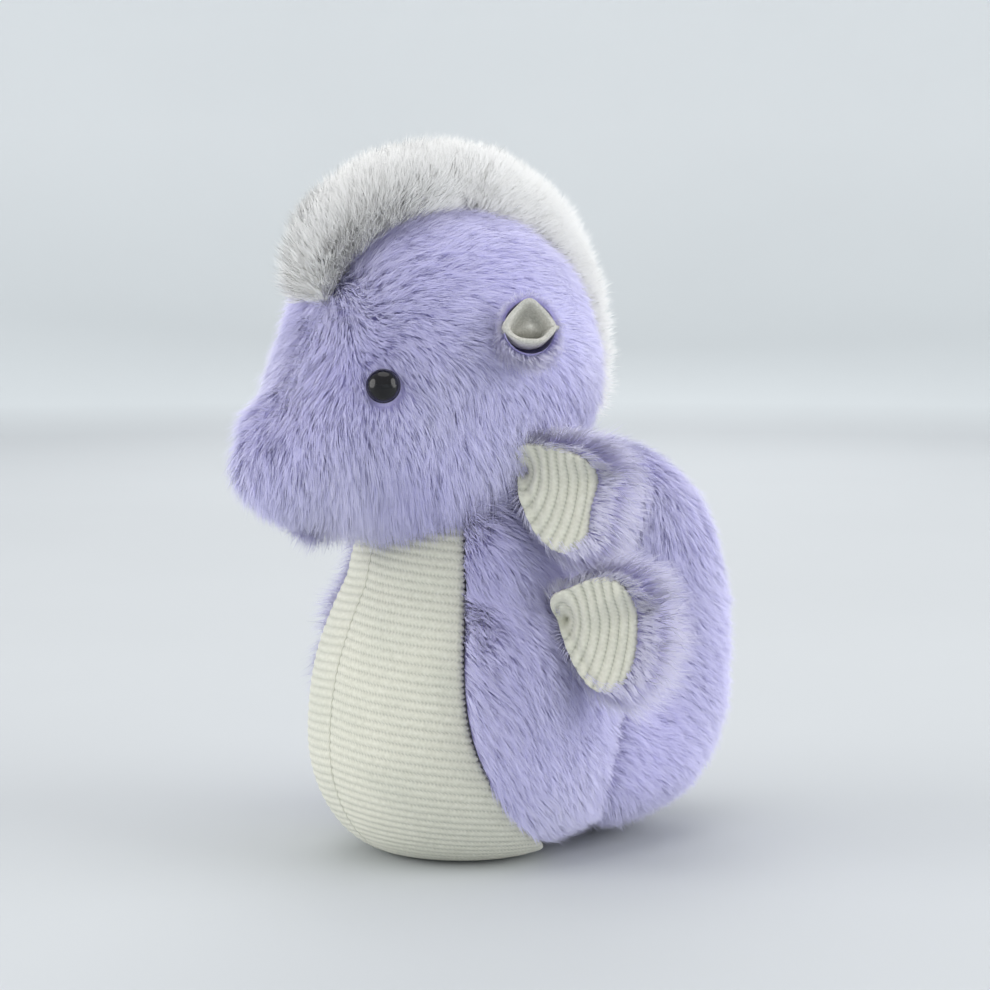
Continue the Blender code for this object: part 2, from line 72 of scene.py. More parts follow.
# Belly: two rib-knit panels. The ribs run round the torso, and fall a little from the centre seam outwards.
BELLY_ROWS, BELLY_COLUMNS = 300, 160
RIB = 2.75 * MM
RIB_SLOPE = 0.09
RIB_RELIEF = 0.45 * MM
KNIT_INSET = 0.8 * MM
KNIT_UNEVENNESS = 0.25 * MM
CENTRE_SEAM_DEPTH = 0.18 * MM
CENTRE_SEAM_REACH = 1.3 * MM
CENTRE_SEAM_GAP = 0.15 * MM
EDGE_TUCK = 1.3 * MM
EDGE_REACH = 2.2 * MM
EDGE_NOTCH = 0.8 * MM
EDGE_TOOTH = 0.15 * MM
ROWS_A_NOTCH = 3
NECK_FULLNESS = 1.8 * MM
NECK_FULLNESS_HEIGHT = 84 * MM
NECK_FULLNESS_REACH = 10 * MM

# Head: four ellipsoids run together, as (centre, radii).
HEAD_LUMPS = (
    ((0, -8 * MM, 161 * MM), (43 * MM, 49 * MM, 45 * MM)),
    ((0, -37 * MM, 141 * MM), (33 * MM, 27 * MM, 27 * MM)),
    ((0, -60 * MM, 129 * MM), (18.5 * MM, 18.5 * MM, 18 * MM)),
    ((0, 7 * MM, 147 * MM), (33 * MM, 33 * MM, 27 * MM)),
)
HEAD_BLEND = 0.16
HEAD_SLIM = 0.003
HEAD_HEART = np.array([0, -24 * MM, 150 * MM])
SNOUT_TURN = 208.0
SNOUT_CROWDING = 24.0
CHEEK_DROP = 9 * MM

# Crest: a ridge over the head's middle, from the brow to the nape, where it runs low. Turns are in degrees.
CREST_PILE = 9 * MM
CREST_HALF_WIDTH = 10 * MM
CREST_START = 136.0
CREST_END = -8.0
CREST_ROWS = 90
CREST_ARC_RADIUS = 52 * MM
CREST_TALL = 16 * MM
CREST_FALL = (5, 75)
CREST_NAPE_SHARE = 0.35
CREST_SEAT = 0.5 * MM
CREST_UNDER_DEPTH = 1.2 * MM
CREST_UNDER_SPREAD = 9.0

# Eyes: glossy domes on a rounded rim. They and the nostrils lie in these directions from the head's heart.
EYE_DIRECTION = (26.0, -20.5, 1.8)
EYE_RADIUS = 4.9 * MM
EYE_DOME = 4.0 * MM
EYE_SEAT = 0.9 * MM
EYE_DEPTH = 2.2 * MM
EYE_SEGMENTS = 56
NOSTRIL_DIRECTION = (11.0, -46.0, -13.0)

# Ears: a suede dish with a lump and a lip in it, in front of a cup of fur.
EAR_ROOT = np.array([44 * MM, -4 * MM, 164 * MM])
EAR_AXIS = (0.86, -0.38, 0.34)
EAR_SIZE = 7.3 * MM
EAR_SHIFT = (-2.4 * MM, 1.3 * MM)
EAR_STAND_OFF = 13.0 * MM
EAR_RIM_HEIGHT = 0.9 * MM
EAR_RIM_BACK = (-3.5, -2.0, -0.6)
EAR_HOLLOW = 4.6 * MM
EAR_LUMP = 3.3 * MM
EAR_LIP = 5.6 * MM
EAR_LIP_RIM = 0.8 * MM
EAR_GROOVE = 1.8 * MM
EAR_PEAK = 1.0 * MM
EAR_THICK = 1.4 * MM
EAR_CUP_DEPTH = 11.0 * MM
EAR_CUP_SET_BACK = 12.5 * MM

# Tail: a thick curl round a centre behind the torso, in the middle plane.
TAIL_CENTRE = np.array([0, 40 * MM, 70 * MM])
TAIL_PATH = 38 * MM
TAIL_PATH_DOWN = 45 * MM
TAIL_PATH_UP = 43 * MM
TAIL_SQUARENESS = 2.8
TAIL_TIP_PATH = 34 * MM
TAIL_HEART = 5 * MM
TAIL_RADIUS = 21.5 * MM
TAIL_HALF_WIDTH = 24 * MM
TAIL_ROOT_EXTRA = 17 * MM
TAIL_ROOT_END = 0.6
TAIL_CLEARANCE = 1.6 * MM
TAIL_START = -106.0
TAIL_END = 112.0

# Fins: the hinge's angle round the torso, its height, and how far above it the leaf's centre is.
FINS = {
    "upper": (80.0, 121 * MM, -7 * MM),
    "lower": (94.0, 76 * MM, -2.5 * MM),
}
FIN_STAND_OFF = 9.5 * MM
FIN_SWEEP = math.radians(40)
FIN_SCALE = (0.95, 0.93)
FIN_BULGE = 5.5 * MM
FIN_FOLDS = {"upper": math.radians(-72), "lower": math.radians(-60)}
FIN_FACETS = (0.30, 0.05)
FIN_CREASE = 0.9 * MM
FIN_RIB = 2.8 * MM
FIN_RIB_RELIEF = 0.75 * MM
FIN_KNIT_HEIGHT = 1.2 * MM
FIN_EDGE_ROLL = 1.8 * MM
FIN_EDGE_START = 0.9
FIN_SCALLOP = 0.008
FIN_SCALLOP_PITCH = 2.1 * MM
FIN_FUNNEL = 6.5 * MM
FIN_FUNNEL_REACH = 3.4 * MM
FIN_CUP = 2.0 * MM
FIN_THICK = 0.8 * MM
FIN_FUR_OVERHANG = np.array([0.20, 0.04])
FIN_OUTWARDS = 11.0 * MM
# A fin's fur spreads from here on its back.
FIN_HEART_OUT, FIN_HEART_DOWN = 7 * MM, 5 * MM

# The pile: the cloth that it grows from lies this far inside the CAD's fur, which is half way up the pile.
PILE = 8.5 * MM
BACKING_DEPTH = 2.6 * MM
BACKING_THICK = 1.2 * MM
SEAM_GAP = 0.3 * MM

KNIT_MAP = "knit"
STITCH = 1.25 * MM


def unit(vector):
    vector = np.asarray(vector, float)
    return vector / np.maximum(np.linalg.norm(vector, axis=-1, keepdims=True), 1e-12)


def smooth(value, low, high):
    """0 below low, 1 above high, and a smooth rise between them."""
    share = np.clip((value - low) / (high - low), 0, 1)
    return share * share * (3 - 2 * share)


def wobble(points, size, seed):
    """A smooth random value from about -1 to 1 at each point, whose patches are about size across."""
    draws = np.random.default_rng(seed)
    directions = unit(draws.normal(size=(7, 3)))
    waves = directions / size * draws.uniform(1.6, 3.6, size=(7, 1))
    phases = draws.uniform(0, 2 * math.pi, 7)
    return np.sin(points @ waves.T + phases).sum(-1) / 3.2


# Materials


def new_material(name, roughness, sheen=0.0):
    made = bpy.data.materials.new(name)
    made.use_nodes = True
    shader = made.node_tree.nodes["Principled BSDF"]
    shader.inputs["Roughness"].default_value = roughness
    shader.inputs["Sheen Weight"].default_value = sheen
    shader.inputs["Sheen Roughness"].default_value = 0.5
    return made, made.node_tree, shader


def ramp_node(tree, stops, source):
    ramp = tree.nodes.new("ShaderNodeValToRGB")
    while len(ramp.color_ramp.elements) < len(stops):
        ramp.color_ramp.elements.new(1.0)
    for element, (place, colour) in zip(ramp.color_ramp.elements, stops):
        element.position = place
        element.color = (*colour, 1)
    tree.links.new(source, ramp.inputs["Fac"])
    return ramp.outputs["Color"]


def noise_node(tree, scale, detail=4.0):
    noise = tree.nodes.new("ShaderNodeTexNoise")
    noise.inputs["Scale"].default_value = scale
    noise.inputs["Detail"].default_value = detail
    place = tree.nodes.new("ShaderNodeTexCoord")
    tree.links.new(place.outputs["Object"], noise.inputs["Vector"])
    return noise.outputs["Fac"]


def multiply(tree, first, second):
    mix = tree.nodes.new("ShaderNodeMix")
    mix.data_type = "RGBA"
    mix.blend_type = "MULTIPLY"
    mix.inputs["Factor"].default_value = 1.0
    tree.links.new(first, mix.inputs["A"])
    tree.links.new(second, mix.inputs["B"])
    return mix.outputs["Result"]


def bump(tree, shader, source, strength, distance):
    node = tree.nodes.new("ShaderNodeBump")
    node.inputs["Strength"].default_value = strength
    node.inputs["Distance"].default_value = distance
    tree.links.new(source, node.inputs["Height"])
    tree.links.new(node.outputs["Normal"], shader.inputs["Normal"])


def map_parts(tree, name):
    """The values across and up a UV map."""
    place = tree.nodes.new("ShaderNodeUVMap")
    place.uv_map = name
    parts = tree.nodes.new("ShaderNodeSeparateXYZ")
    tree.links.new(place.outputs["UV"], parts.inputs["Vector"])
    return parts.outputs["X"], parts.outputs["Y"]


def pile_material(name, tones, painted_root_shade):
    """Fibres: across the strand map runs each fibre's own tone, and up it runs painted shade, darkest at the
    root deep in the pile and gone by the tip.
    """
    made, tree, shader = new_material(name, 0.8, sheen=0.6)
    across, up = map_parts(tree, STRAND_MAP)
    tone = ramp_node(tree, tones, across)
    # Painted shade: each fibre is darkened at its root, where the pile shades itself, and lightens towards
    # its tip.
    rise = ramp_node(tree, ((0.0, painted_root_shade), (0.5, (0.95, 0.95, 0.97)), (1.0, (1.0, 1.0, 1.0))), up)
    tree.links.new(multiply(tree, tone, rise), shader.inputs["Base Color"])
    return made


def cloth_material(name, stops, grain, roughness=0.9, bump_distance=0.2 * MM, sheen=0.2):
    made, tree, shader = new_material(name, roughness, sheen)
    tree.links.new(ramp_node(tree, stops, noise_node(tree, grain)), shader.inputs["Base Color"])
    bump(tree, shader, noise_node(tree, grain * 2.5), 0.6, bump_distance)
    return made


def calculate(tree, operation, first, second=0.0):
    node = tree.nodes.new("ShaderNodeMath")
    node.operation = operation
    for socket, value in zip(node.inputs, (first, second)):
        if isinstance(value, (int, float)):
            socket.default_value = value
        else:
            tree.links.new(value, socket)
    return node.outputs["Value"]


def knit_material():
    """Cream rib knit. The ribs are in the mesh; the slanting stitches between them and the fuzz are here, and
    painted shade darkens the valleys between the ribs and the stitches' grooves.
    The knit map runs along the rib in stitches and across the ribs in ribs."""
    made, tree, shader = new_material("rib_knit", 0.88, sheen=0.25)
    along, across = map_parts(tree, KNIT_MAP)
    across = calculate(tree, "FRACT", across)
    across = calculate(tree, "SUBTRACT", calculate(tree, "MULTIPLY", across, 2.0), 1.0)
    valley = calculate(tree, "POWER", calculate(tree, "ABSOLUTE", across), 2.0)
    slanting = calculate(tree, "ADD", along, calculate(tree, "MULTIPLY", across, 0.45))
    wave = calculate(tree, "SINE", calculate(tree, "MULTIPLY", slanting, 2 * math.pi))
    ticks = calculate(tree, "ADD", calculate(tree, "MULTIPLY", wave, 0.5), 0.5)
    ticks = calculate(tree, "ADD", calculate(tree, "MULTIPLY", ticks, 0.75), 0.25)
    depth = calculate(tree, "MULTIPLY", valley, ticks)
    yarn_stops = ((0.3, (0.69, 0.68, 0.575)), (0.55, (0.76, 0.75, 0.64)), (0.75, (0.81, 0.80, 0.70)))
    yarn = ramp_node(tree, yarn_stops, noise_node(tree, 900, 5))
    cloudy = ramp_node(tree, ((0.35, (0.93, 0.94, 0.94)), (0.65, (1.0, 1.0, 1.0))), noise_node(tree, 45, 3))
    # Painted shade: the deeper the valley or groove, the darker the yarn.
    painted_groove_shade = ramp_node(tree, ((0.0, (1.0, 1.0, 1.0)), (1.0, (0.72, 0.73, 0.73))), depth)
    tree.links.new(multiply(tree, multiply(tree, yarn, cloudy), painted_groove_shade), shader.inputs["Base Color"])
    fuzz = calculate(tree, "MULTIPLY", noise_node(tree, 2600, 3), 0.35)
    bump(tree, shader, calculate(tree, "SUBTRACT", fuzz, depth), 0.6, 0.25 * MM)
    return made


def gloss_material():
    made, tree, shader = new_material("black_gloss", 0.05)
    speck = noise_node(tree, 300, 2)
    stops = ((0.3, (0.003, 0.003, 0.004)), (0.7, (0.005, 0.005, 0.007)))
    tree.links.new(ramp_node(tree, stops, speck), shader.inputs["Base Color"])
    shader.inputs["Specular IOR Level"].default_value = 0.4
    return made


# Meshes


def add_piece(name, points, faces, look, body, replaced):
    """A smooth mesh given in the torso's frame, which rides on a body in place of a CAD node."""
    mesh = bpy.data.meshes.new(name)
    mesh.from_pydata(np.asarray(points) + (0, TORSO_Y, 0), [], faces)
    mesh.validate()
    mesh.shade_smooth()
    mesh.materials.append(look)
    made = bpy.data.objects.new(name, mesh)
    bpy.context.scene.collection.objects.link(made)
    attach(made, body)
    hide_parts(replaced)
    return made


def quads(rows, columns, wrap, first=0):
    steps = columns if wrap else columns - 1
    row, column = np.meshgrid(np.arange(rows - 1), np.arange(steps), indexing="ij")
    row, column = row.ravel(), column.ravel()
    following = (column + 1) % columns
    near, far = first + row * columns, first + (row + 1) * columns
    return np.stack([near + column, near + following, far + following, far + column], 1)


def shell(outer, inner, wrap):
    """The points and faces of a thin solid between two matching grids, facing out."""
    outer, inner = np.asarray(outer), np.asarray(inner)
    rows, columns = outer.shape[:2]
    count = rows * columns
    faces = [quads(rows, columns, wrap), quads(rows, columns, wrap, count)[:, ::-1]]
    steps = np.arange(columns if wrap else columns - 1)
    following = (steps + 1) % columns
    for start, flip in ((0, False), ((rows - 1) * columns, True)):
        near, far = start + following, start + steps
        strip = np.stack([near, far, count + far, count + near], 1)
        faces.append(strip[:, ::-1] if flip else strip)
    if not wrap:
        steps = np.arange(rows - 1) * columns
        for start, flip in ((0, True), (columns - 1, False)):
            near, far = steps + start, steps + columns + start
            strip = np.stack([far, near, count + near, count + far], 1)
            faces.append(strip[:, ::-1] if flip else strip)
    return np.concatenate([outer.reshape(-1, 3), inner.reshape(-1, 3)]), np.concatenate(faces)


def face_out(points, faces):
    """The faces turned over if the solid is inside out."""
    corners = np.asarray(points)[np.asarray(faces)]
    volume = 0
    for first, second, third in ((0, 1, 2), (0, 2, 3)):
        area = np.cross(corners[:, second], corners[:, third])
        volume += np.einsum("ij,ij->i", corners[:, first], area).sum()
    return faces if volume > 0 else faces[:, ::-1]


def mirrored(points, side):
    return np.asarray(points) * (side, 1, 1)


def add_shell(name, grids, side, wrap, look, body, replaced):
    """The thin solid between two grids, which are the left side's, as a piece."""
    points, faces = shell(*(mirrored(grid, side) for grid in grids), wrap)
    return add_piece(name, points, face_out(points, faces), look, body, replaced)


def lay_knit(piece, along_rib, across_ribs):
    """The knit map: one value for each point of the front grid, used for the back grid too."""
    mesh = piece.data
    corners = np.empty(len(mesh.loops), dtype=np.int32)
    mesh.loops.foreach_get("vertex_index", corners)
    values = np.stack([along_rib.ravel(), across_ribs.ravel()], 1)[corners % along_rib.size]
    mesh.uv_layers.new(name=KNIT_MAP).data.foreach_set("uv", values.astype(np.float32).ravel())


# Fur

# A strand is a quad with a triangle on top: five points and seven face corners.
STRAND_MAP = "OFBake"
TONES = 64
STRAND_POINTS = 5
STRAND_FACES = np.array([0, 1, 3, 2, 2, 3, 4])
STRAND_CORNERS = len(STRAND_FACES)
STRAND_RISES = np.array([0.01, 0.01, 0.5, 0.5, 0.99])
STRANDS_IN_A_PIECE = 64000
STRAND_SHADING = 0.45
STRAND_ROLL = 0.35
PATCHES = 9 * MM
OFF_THE_GROUND = 0.4 * MM


def grid_triangles(grid, wrap, outside):
    """Each triangle's corners and its corners' normals, which point away from the points in outside."""
    rows, columns = grid.shape[:2]
    faces = quads(rows, columns, wrap)
    faces = np.concatenate([faces[:, [0, 1, 2]], faces[:, [0, 2, 3]]])
    points = grid.reshape(-1, 3)
    corners = points[faces]
    flat = np.cross(corners[:, 1] - corners[:, 0], corners[:, 2] - corners[:, 0])
    areas = np.linalg.norm(flat, axis=1) / 2
    if np.einsum("ij,ij->i", flat, corners.mean(1) - outside).sum() < 0:
        flat = -flat
    normals = np.zeros_like(points)
    for corner in range(3):
        np.add.at(normals, faces[:, corner], flat)
    return corners, unit(normals)[faces], areas


def scatter(corners, normals, areas, count):
    """Random roots over the triangles, with their normals."""
    chosen = RANDOM.choice(len(areas), count, p=areas / areas.sum())
    first, second = np.sqrt(RANDOM.random(count)), RANDOM.random(count)
    shares = np.stack([1 - first, first * (1 - second), first * second], 1)[..., None]
    return (corners[chosen] * shares).sum(1), unit((normals[chosen] * shares).sum(1))


def strand_paths(roots, normals, flows, lengths, angles, droop):
    """Three points along each strand, which leaves its cloth at one angle and bends over to another."""
    paths = [roots]
    for angle, sag in zip(angles, (0.45, 1.15)):
        ahead = normals * np.sin(angle)[:, None] + flows * np.cos(angle)[:, None]
        ahead[:, 2] -= droop * sag
        paths.append(paths[-1] + unit(ahead) * (lengths / 2)[:, None])
    return np.stack(paths, 1)


def value_at(value, roots):
    """A number for each root: value may be one number or a function of the roots."""
    return value(roots) if callable(value) else np.full(len(roots), float(value))


def grow(name, body, grid, look, flow, length, density=6.0, width=0.18, lifts=(54, 26), clump=2.2,
         pull=0.12, spread=0.15, droop=0.12, wrap=True, outside=(0, 0, 0), keep=None, sway=0.32,
         raise_up=0.0, face=None):
    """Fur on a grid. density is in strands a mm2, width in mm, and length in metres. lifts are a strand's
    angles off the cloth at its root and tip, and raise_up adds to them, in radians. clump is the cloth in mm2
    that each tuft gathers, and pull is how far. face gives the direction that a strand's lit side is turned
    to, which is straight out of the cloth unless it is given."""
    corners, corner_normals, areas = grid_triangles(np.asarray(grid), wrap, np.asarray(outside))
    count = int(areas.sum() / MM**2 * density)
    roots, normals = scatter(corners, corner_normals, areas, count)
    if keep is not None:
        kept = keep(roots, normals)
        roots, normals = roots[kept], normals[kept]
    count = len(roots)
    heads = max(int(count / density / clump), 1)
    tree = KDTree(heads)
    for i in range(heads):
        tree.insert(roots[i], i)
    tree.balance()
    tuft = np.array([tree.find(root)[1] for root in roots])
    along = flow(roots, normals)
    along = unit(along - normals * np.einsum("ij,ij->i", along, normals)[:, None])
    aside = np.cross(normals, along)
    turn = sway * wobble(roots, PATCHES, 3) + 0.12 * RANDOM.normal(size=heads)[tuft]
    turn = turn + spread * RANDOM.normal(size=count)
    flows = along * np.cos(turn)[:, None] + aside * np.sin(turn)[:, None]
    lengths = value_at(length, roots)
    lengths = lengths * (1 + 0.08 * RANDOM.normal(size=heads)[tuft]) * RANDOM.uniform(0.74, 1.06, count)
    lift = 0.08 * RANDOM.normal(size=heads)[tuft] + 0.12 * wobble(roots, PATCHES * 1.3, 5)
    lift = lift + value_at(raise_up, roots)
    lift = lift + 0.12 * RANDOM.normal(size=count)
    angles = [np.radians(angle) + lift for angle in lifts]
    paths = strand_paths(roots, normals, flows, lengths, angles, value_at(droop, roots))
    centres = paths[:heads][tuft]
    gather = pull * np.array([0, 0.4, 1.0])[None, :, None] * RANDOM.uniform(0.4, 1.0, (count, 1, 1))
    paths = paths + (centres - paths) * gather
    paths[..., 2] = np.maximum(paths[..., 2], OFF_THE_GROUND)
    facing = normals if face is None else unit(face(roots, normals))
    pieces = math.ceil(count / STRANDS_IN_A_PIECE)
    for i in range(pieces):
        part = slice(i, None, pieces)
        part_name = name if pieces == 1 else f"{name}_{i + 1}"
        add_strands(part_name, body, paths[part], normals[part], facing[part], look, width * MM, roots[part])


def add_strands(name, body, paths, normals, facing, look, width, roots):
    """One mesh of strands, each with its own tone. Its shading normals lie between facing and its own."""
    count = len(paths)
    ahead = unit(paths[:, 2] - paths[:, 0])
    aside = unit(np.cross(ahead, normals))
    roll = RANDOM.uniform(-STRAND_ROLL, STRAND_ROLL, count)[:, None]
    aside = aside * np.cos(roll) + unit(np.cross(aside, ahead)) * np.sin(roll)
    turned = np.where(np.einsum("ij,ij->i", np.cross(aside, ahead), facing) < 0, -1, 1)[:, None]
    aside = aside * turned
    shading = unit(facing + STRAND_SHADING * np.cross(aside, ahead))
    half = 0.5 * width * RANDOM.uniform(0.75, 1.25, count)[:, None] * aside
    points = np.empty((count, STRAND_POINTS, 3))
    points[:, 0] = paths[:, 0] - half
    points[:, 1] = paths[:, 0] + half
    points[:, 2] = paths[:, 1] - 0.8 * half
    points[:, 3] = paths[:, 1] + 0.8 * half
    points[:, 4] = paths[:, 2]
    points = points + (0, TORSO_Y, 0)
    mesh = bpy.data.meshes.new(name)
    mesh.vertices.add(count * STRAND_POINTS)
    mesh.vertices.foreach_set("co", points.astype(np.float32).ravel())
    mesh.loops.add(count * STRAND_CORNERS)
    mesh.polygons.add(count * 2)
    starts = (np.arange(count)[:, None] * STRAND_CORNERS + np.array([0, 4])).astype(np.int32)
    mesh.polygons.foreach_set("loop_start", starts.ravel())
    order = (np.arange(count)[:, None] * STRAND_POINTS + STRAND_FACES).astype(np.int32)
    mesh.polygons.foreach_set("vertices", order.ravel())
    mesh.update(calc_edges=True)
    tone = 0.5 + 0.13 * wobble(roots, 14 * MM, 21) + 0.13 * RANDOM.normal(size=count)
    cell = np.clip((tone * TONES).astype(int), 0, TONES - 1)
    left, right = cell / TONES, (cell + 1) / TONES
    across = np.stack([left, right, left, right, (left + right) / 2], 1)[:, STRAND_FACES]
    up = np.broadcast_to(STRAND_RISES[STRAND_FACES], across.shape)
    layer = mesh.uv_layers.new(name=STRAND_MAP)
    layer.data.foreach_set("uv", np.stack([across, up], -1).astype(np.float32).ravel())
    mesh.shade_smooth()
    soft = mesh.attributes.new("custom_normal", "FLOAT_VECTOR", "POINT")
    soft.data.foreach_set("vector", np.repeat(shading, STRAND_POINTS, axis=0).astype(np.float32).ravel())
    mesh.materials.append(look)
    made = bpy.data.objects.new(name, mesh)
    bpy.context.scene.collection.objects.link(made)
    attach(made, body)


def add_fur(part, side, grids, fill, look, flow, length, body=None, pile=0, wrap=True, **growth):
    """A fur panel: the backing between two grids, which are the left side's, and pile on one of them."""
    side_name = "left" if side > 0 else "right"
    body = body or f"{part}_{side_name}"
    skin = add_shell(f"{part}_backing_{side_name}", grids, side, wrap, BACKING, body,
                     f"{part}_fur_{side_name}")
    name = f"{part}_fur_pile_{side_name}"
    grow(name, body, mirrored(grids[pile], side), look, flow, length, wrap=wrap, **growth)


def backing_grids(grid_at):
    """The backing's outer and inner grids, from a function of the depth under the CAD's surface."""
    return [grid_at(depth) for depth in (BACKING_DEPTH, BACKING_DEPTH + BACKING_THICK)]


# Torso


def torso_radius(height):
    """The torso's radius at each height, without its lean."""
    height = np.asarray(height, float)
    rise = np.clip(height / BELLY_HEIGHT, 0, 1)
    low = BASE_RADIUS + (BELLY_RADIUS - BASE_RADIUS) * np.sqrt(1 - (1 - rise) ** 2)
    share = np.clip((height - BELLY_HEIGHT) / (NECK_HEIGHT - BELLY_HEIGHT), 0, 1)
    taper = (BELLY_RADIUS - NECK_RADIUS) / 2
    middle = NECK_RADIUS + taper + taper * np.cos(math.pi * share**FLANK_FULLNESS)
    top = np.sqrt(np.maximum(NECK_RADIUS**2 - (height - NECK_HEIGHT) ** 2, 0))
    return np.where(height < BELLY_HEIGHT, low, np.where(height < NECK_HEIGHT, middle, top))


def lean(height):
    return NECK_SET_BACK * smooth(height, BELLY_HEIGHT, NECK_HEIGHT)


def torso_line(rows):
    """(radius, height) at even steps along the torso's side, from the base's middle to the top."""
    low = BELLY_HEIGHT * (1 - np.cos(np.linspace(0, math.pi / 2, 40)))
    top = NECK_HEIGHT + NECK_RADIUS * np.sin(np.linspace(0.05, math.pi / 2, 40))
    heights = np.concatenate([[0.0], low, np.linspace(BELLY_HEIGHT, NECK_HEIGHT, 60)[1:], top])
    radii = torso_radius(heights)
    radii[0] = 1 * MM
    along = np.concatenate([[0], np.cumsum(np.hypot(np.diff(radii), np.diff(heights)))])
    even = np.linspace(0, along[-1], rows)
    return np.interp(even, along, radii), np.interp(even, along, heights), even


def torso_point(radius, angle, height):
    return np.stack([radius * np.sin(angle), lean(height) - radius * np.cos(angle), height + 0 * angle], -1)


def belly_edge(height):
    """The angle from the front, in radians, at which the ribbed belly meets the fur."""
    flare = BELLY_FLARE * np.exp(-height / BELLY_FLARE_HEIGHT)
    return np.radians(BELLY_HALF_ANGLE + flare + BELLY_SPLAY * np.exp(-height / BELLY_SPLAY_HEIGHT))


def torso_grid(rows, columns, first, last, inset):
    """A grid on the torso between the seams at the angles first and last. inset may be a grid of depths."""
    radii, heights, along = torso_line(rows)
    slopes = np.gradient(np.stack([radii, heights], 1), along, axis=0)
    across, up = slopes[:, 1], -slopes[:, 0]
    share = np.linspace(0, 1, columns)
    angles = first(heights)[:, None] * (1 - share) + last(heights)[:, None] * share
    inset = np.broadcast_to(inset, angles.shape)
    radius = np.maximum(radii[:, None] - inset * across[:, None], 0.5 * MM)
    height = heights[:, None] - inset * up[:, None]
    points = torso_point(radius, angles, np.broadcast_to(height, angles.shape))
    return points, angles, radii, along


def in_head(points, margin):
    return np.linalg.norm((points - HEAD_LUMPS[0][0]) / (np.array(HEAD_LUMPS[0][1]) + margin), axis=-1) < 1


def roll_in(distance, reach):
    """1 at an edge and 0 from reach inwards, on a quarter circle."""
    return 1 - np.sqrt(np.clip(1 - (1 - np.clip(distance / reach, 0, 1)) ** 2, 0, 1))


def make_belly():
    """Rib knit in relief: rounded ribs of slanting stitches, which meet in a low chevron at the seam."""
    def middle(heights):
        return 0 * heights

    def seam_side(heights):
        return CENTRE_SEAM_GAP / np.maximum(torso_radius(heights), 3 * MM)

    def fur_side(heights):
        notches = np.where(np.arange(len(heights)) % ROWS_A_NOTCH == 0, EDGE_NOTCH, EDGE_TOOTH)
        return belly_edge(heights) - notches / np.maximum(torso_radius(heights), 3 * MM)

    plain = np.zeros((BELLY_ROWS, BELLY_COLUMNS))
    _, angles, radii, along = torso_grid(BELLY_ROWS, BELLY_COLUMNS, middle, belly_edge, plain)
    arc = angles * radii[:, None]
    width = arc[:, -1:]
    place = (along[:, None] + RIB_SLOPE * arc) / RIB
    relief = RIB_RELIEF * (1 - np.abs((place % 1.0) * 2 - 1) ** 2.2)
    heights = torso_line(BELLY_ROWS)[1]
    neck = NECK_FULLNESS * np.exp(-(((heights - NECK_FULLNESS_HEIGHT) / NECK_FULLNESS_REACH) ** 2))[:, None]
    edge = np.minimum(arc + 0.2 * MM, np.maximum(width - arc, 0))
    outer_edge = np.where(arc > width / 2, EDGE_TUCK * roll_in(edge, EDGE_REACH), 0)
    seam = CENTRE_SEAM_DEPTH * roll_in(arc, CENTRE_SEAM_REACH)
    base = smooth(radii, 20 * MM, 26 * MM)[:, None]
    for side_name, side in SIDES.items():
        flat = np.stack([arc * side, along[:, None] + 0 * arc, 0 * arc], -1)
        inset = KNIT_INSET - relief * (0.35 + 0.65 * base) + seam + outer_edge
        inset = inset - KNIT_UNEVENNESS * wobble(flat, 22 * MM, 8)
        inset = np.maximum(inset, 0) - neck
        grids = []
        for depth in (inset, BACKING_DEPTH + plain):
            grid = torso_grid(BELLY_ROWS, BELLY_COLUMNS, seam_side, fur_side, depth)[0]
            grid[..., 2] = np.maximum(grid[..., 2], 0.0)
            grids.append(grid)
        piece = add_shell(f"belly_knit_{side_name}", grids, side, False, KNIT, "torso",
                          f"belly_panel_{side_name}")
        lay_knit(piece, arc / STITCH, place)


def from_seam(points):
    """How far round the torso a point lies behind the belly's seam, in metres."""
    angle = np.arctan2(np.abs(points[:, 0]), lean(points[:, 2]) - points[:, 1])
    return (angle - belly_edge(points[:, 2])) * torso_radius(points[:, 2])


def body_flow(points, normals):
    """Body fur lies down and towards the back, and near the ground it turns outwards."""
    low = 1 - smooth(points[:, 2], 4 * MM, 26 * MM)[:, None]
    out = points * (1, 1, 0) / np.maximum(np.hypot(points[:, 0], points[:, 1]), 1 * MM)[:, None]
    return np.array([0, 0.55, -0.85]) * (1 - low) + (out * 0.8 + np.array([0, 0.5, -0.25])) * low


def fill_haunch(points):
    """The body's lower back is fuller than its front, and so it runs into the tail's root."""
    points = np.array(points)
    centre = lean(points[..., 2])
    angle = np.arctan2(np.abs(points[..., 0]), centre - points[..., 1])
    radius = torso_radius(np.clip(points[..., 2], 0.5 * MM, NECK_HEIGHT))
    missing = np.where(points[..., 2] < BELLY_HEIGHT, BELLY_RADIUS - radius, 0)
    behind = smooth(angle, math.radians(90), math.radians(125))
    scale = 1 + HAUNCH_SHARE * behind * missing / radius
    points[..., 0] *= scale
    points[..., 1] = centre + (points[..., 1] - centre) * scale
    points[..., 2] += HAUNCH_LIFT * behind * (1 - smooth(points[..., 2], 0, 24 * MM))
    return points


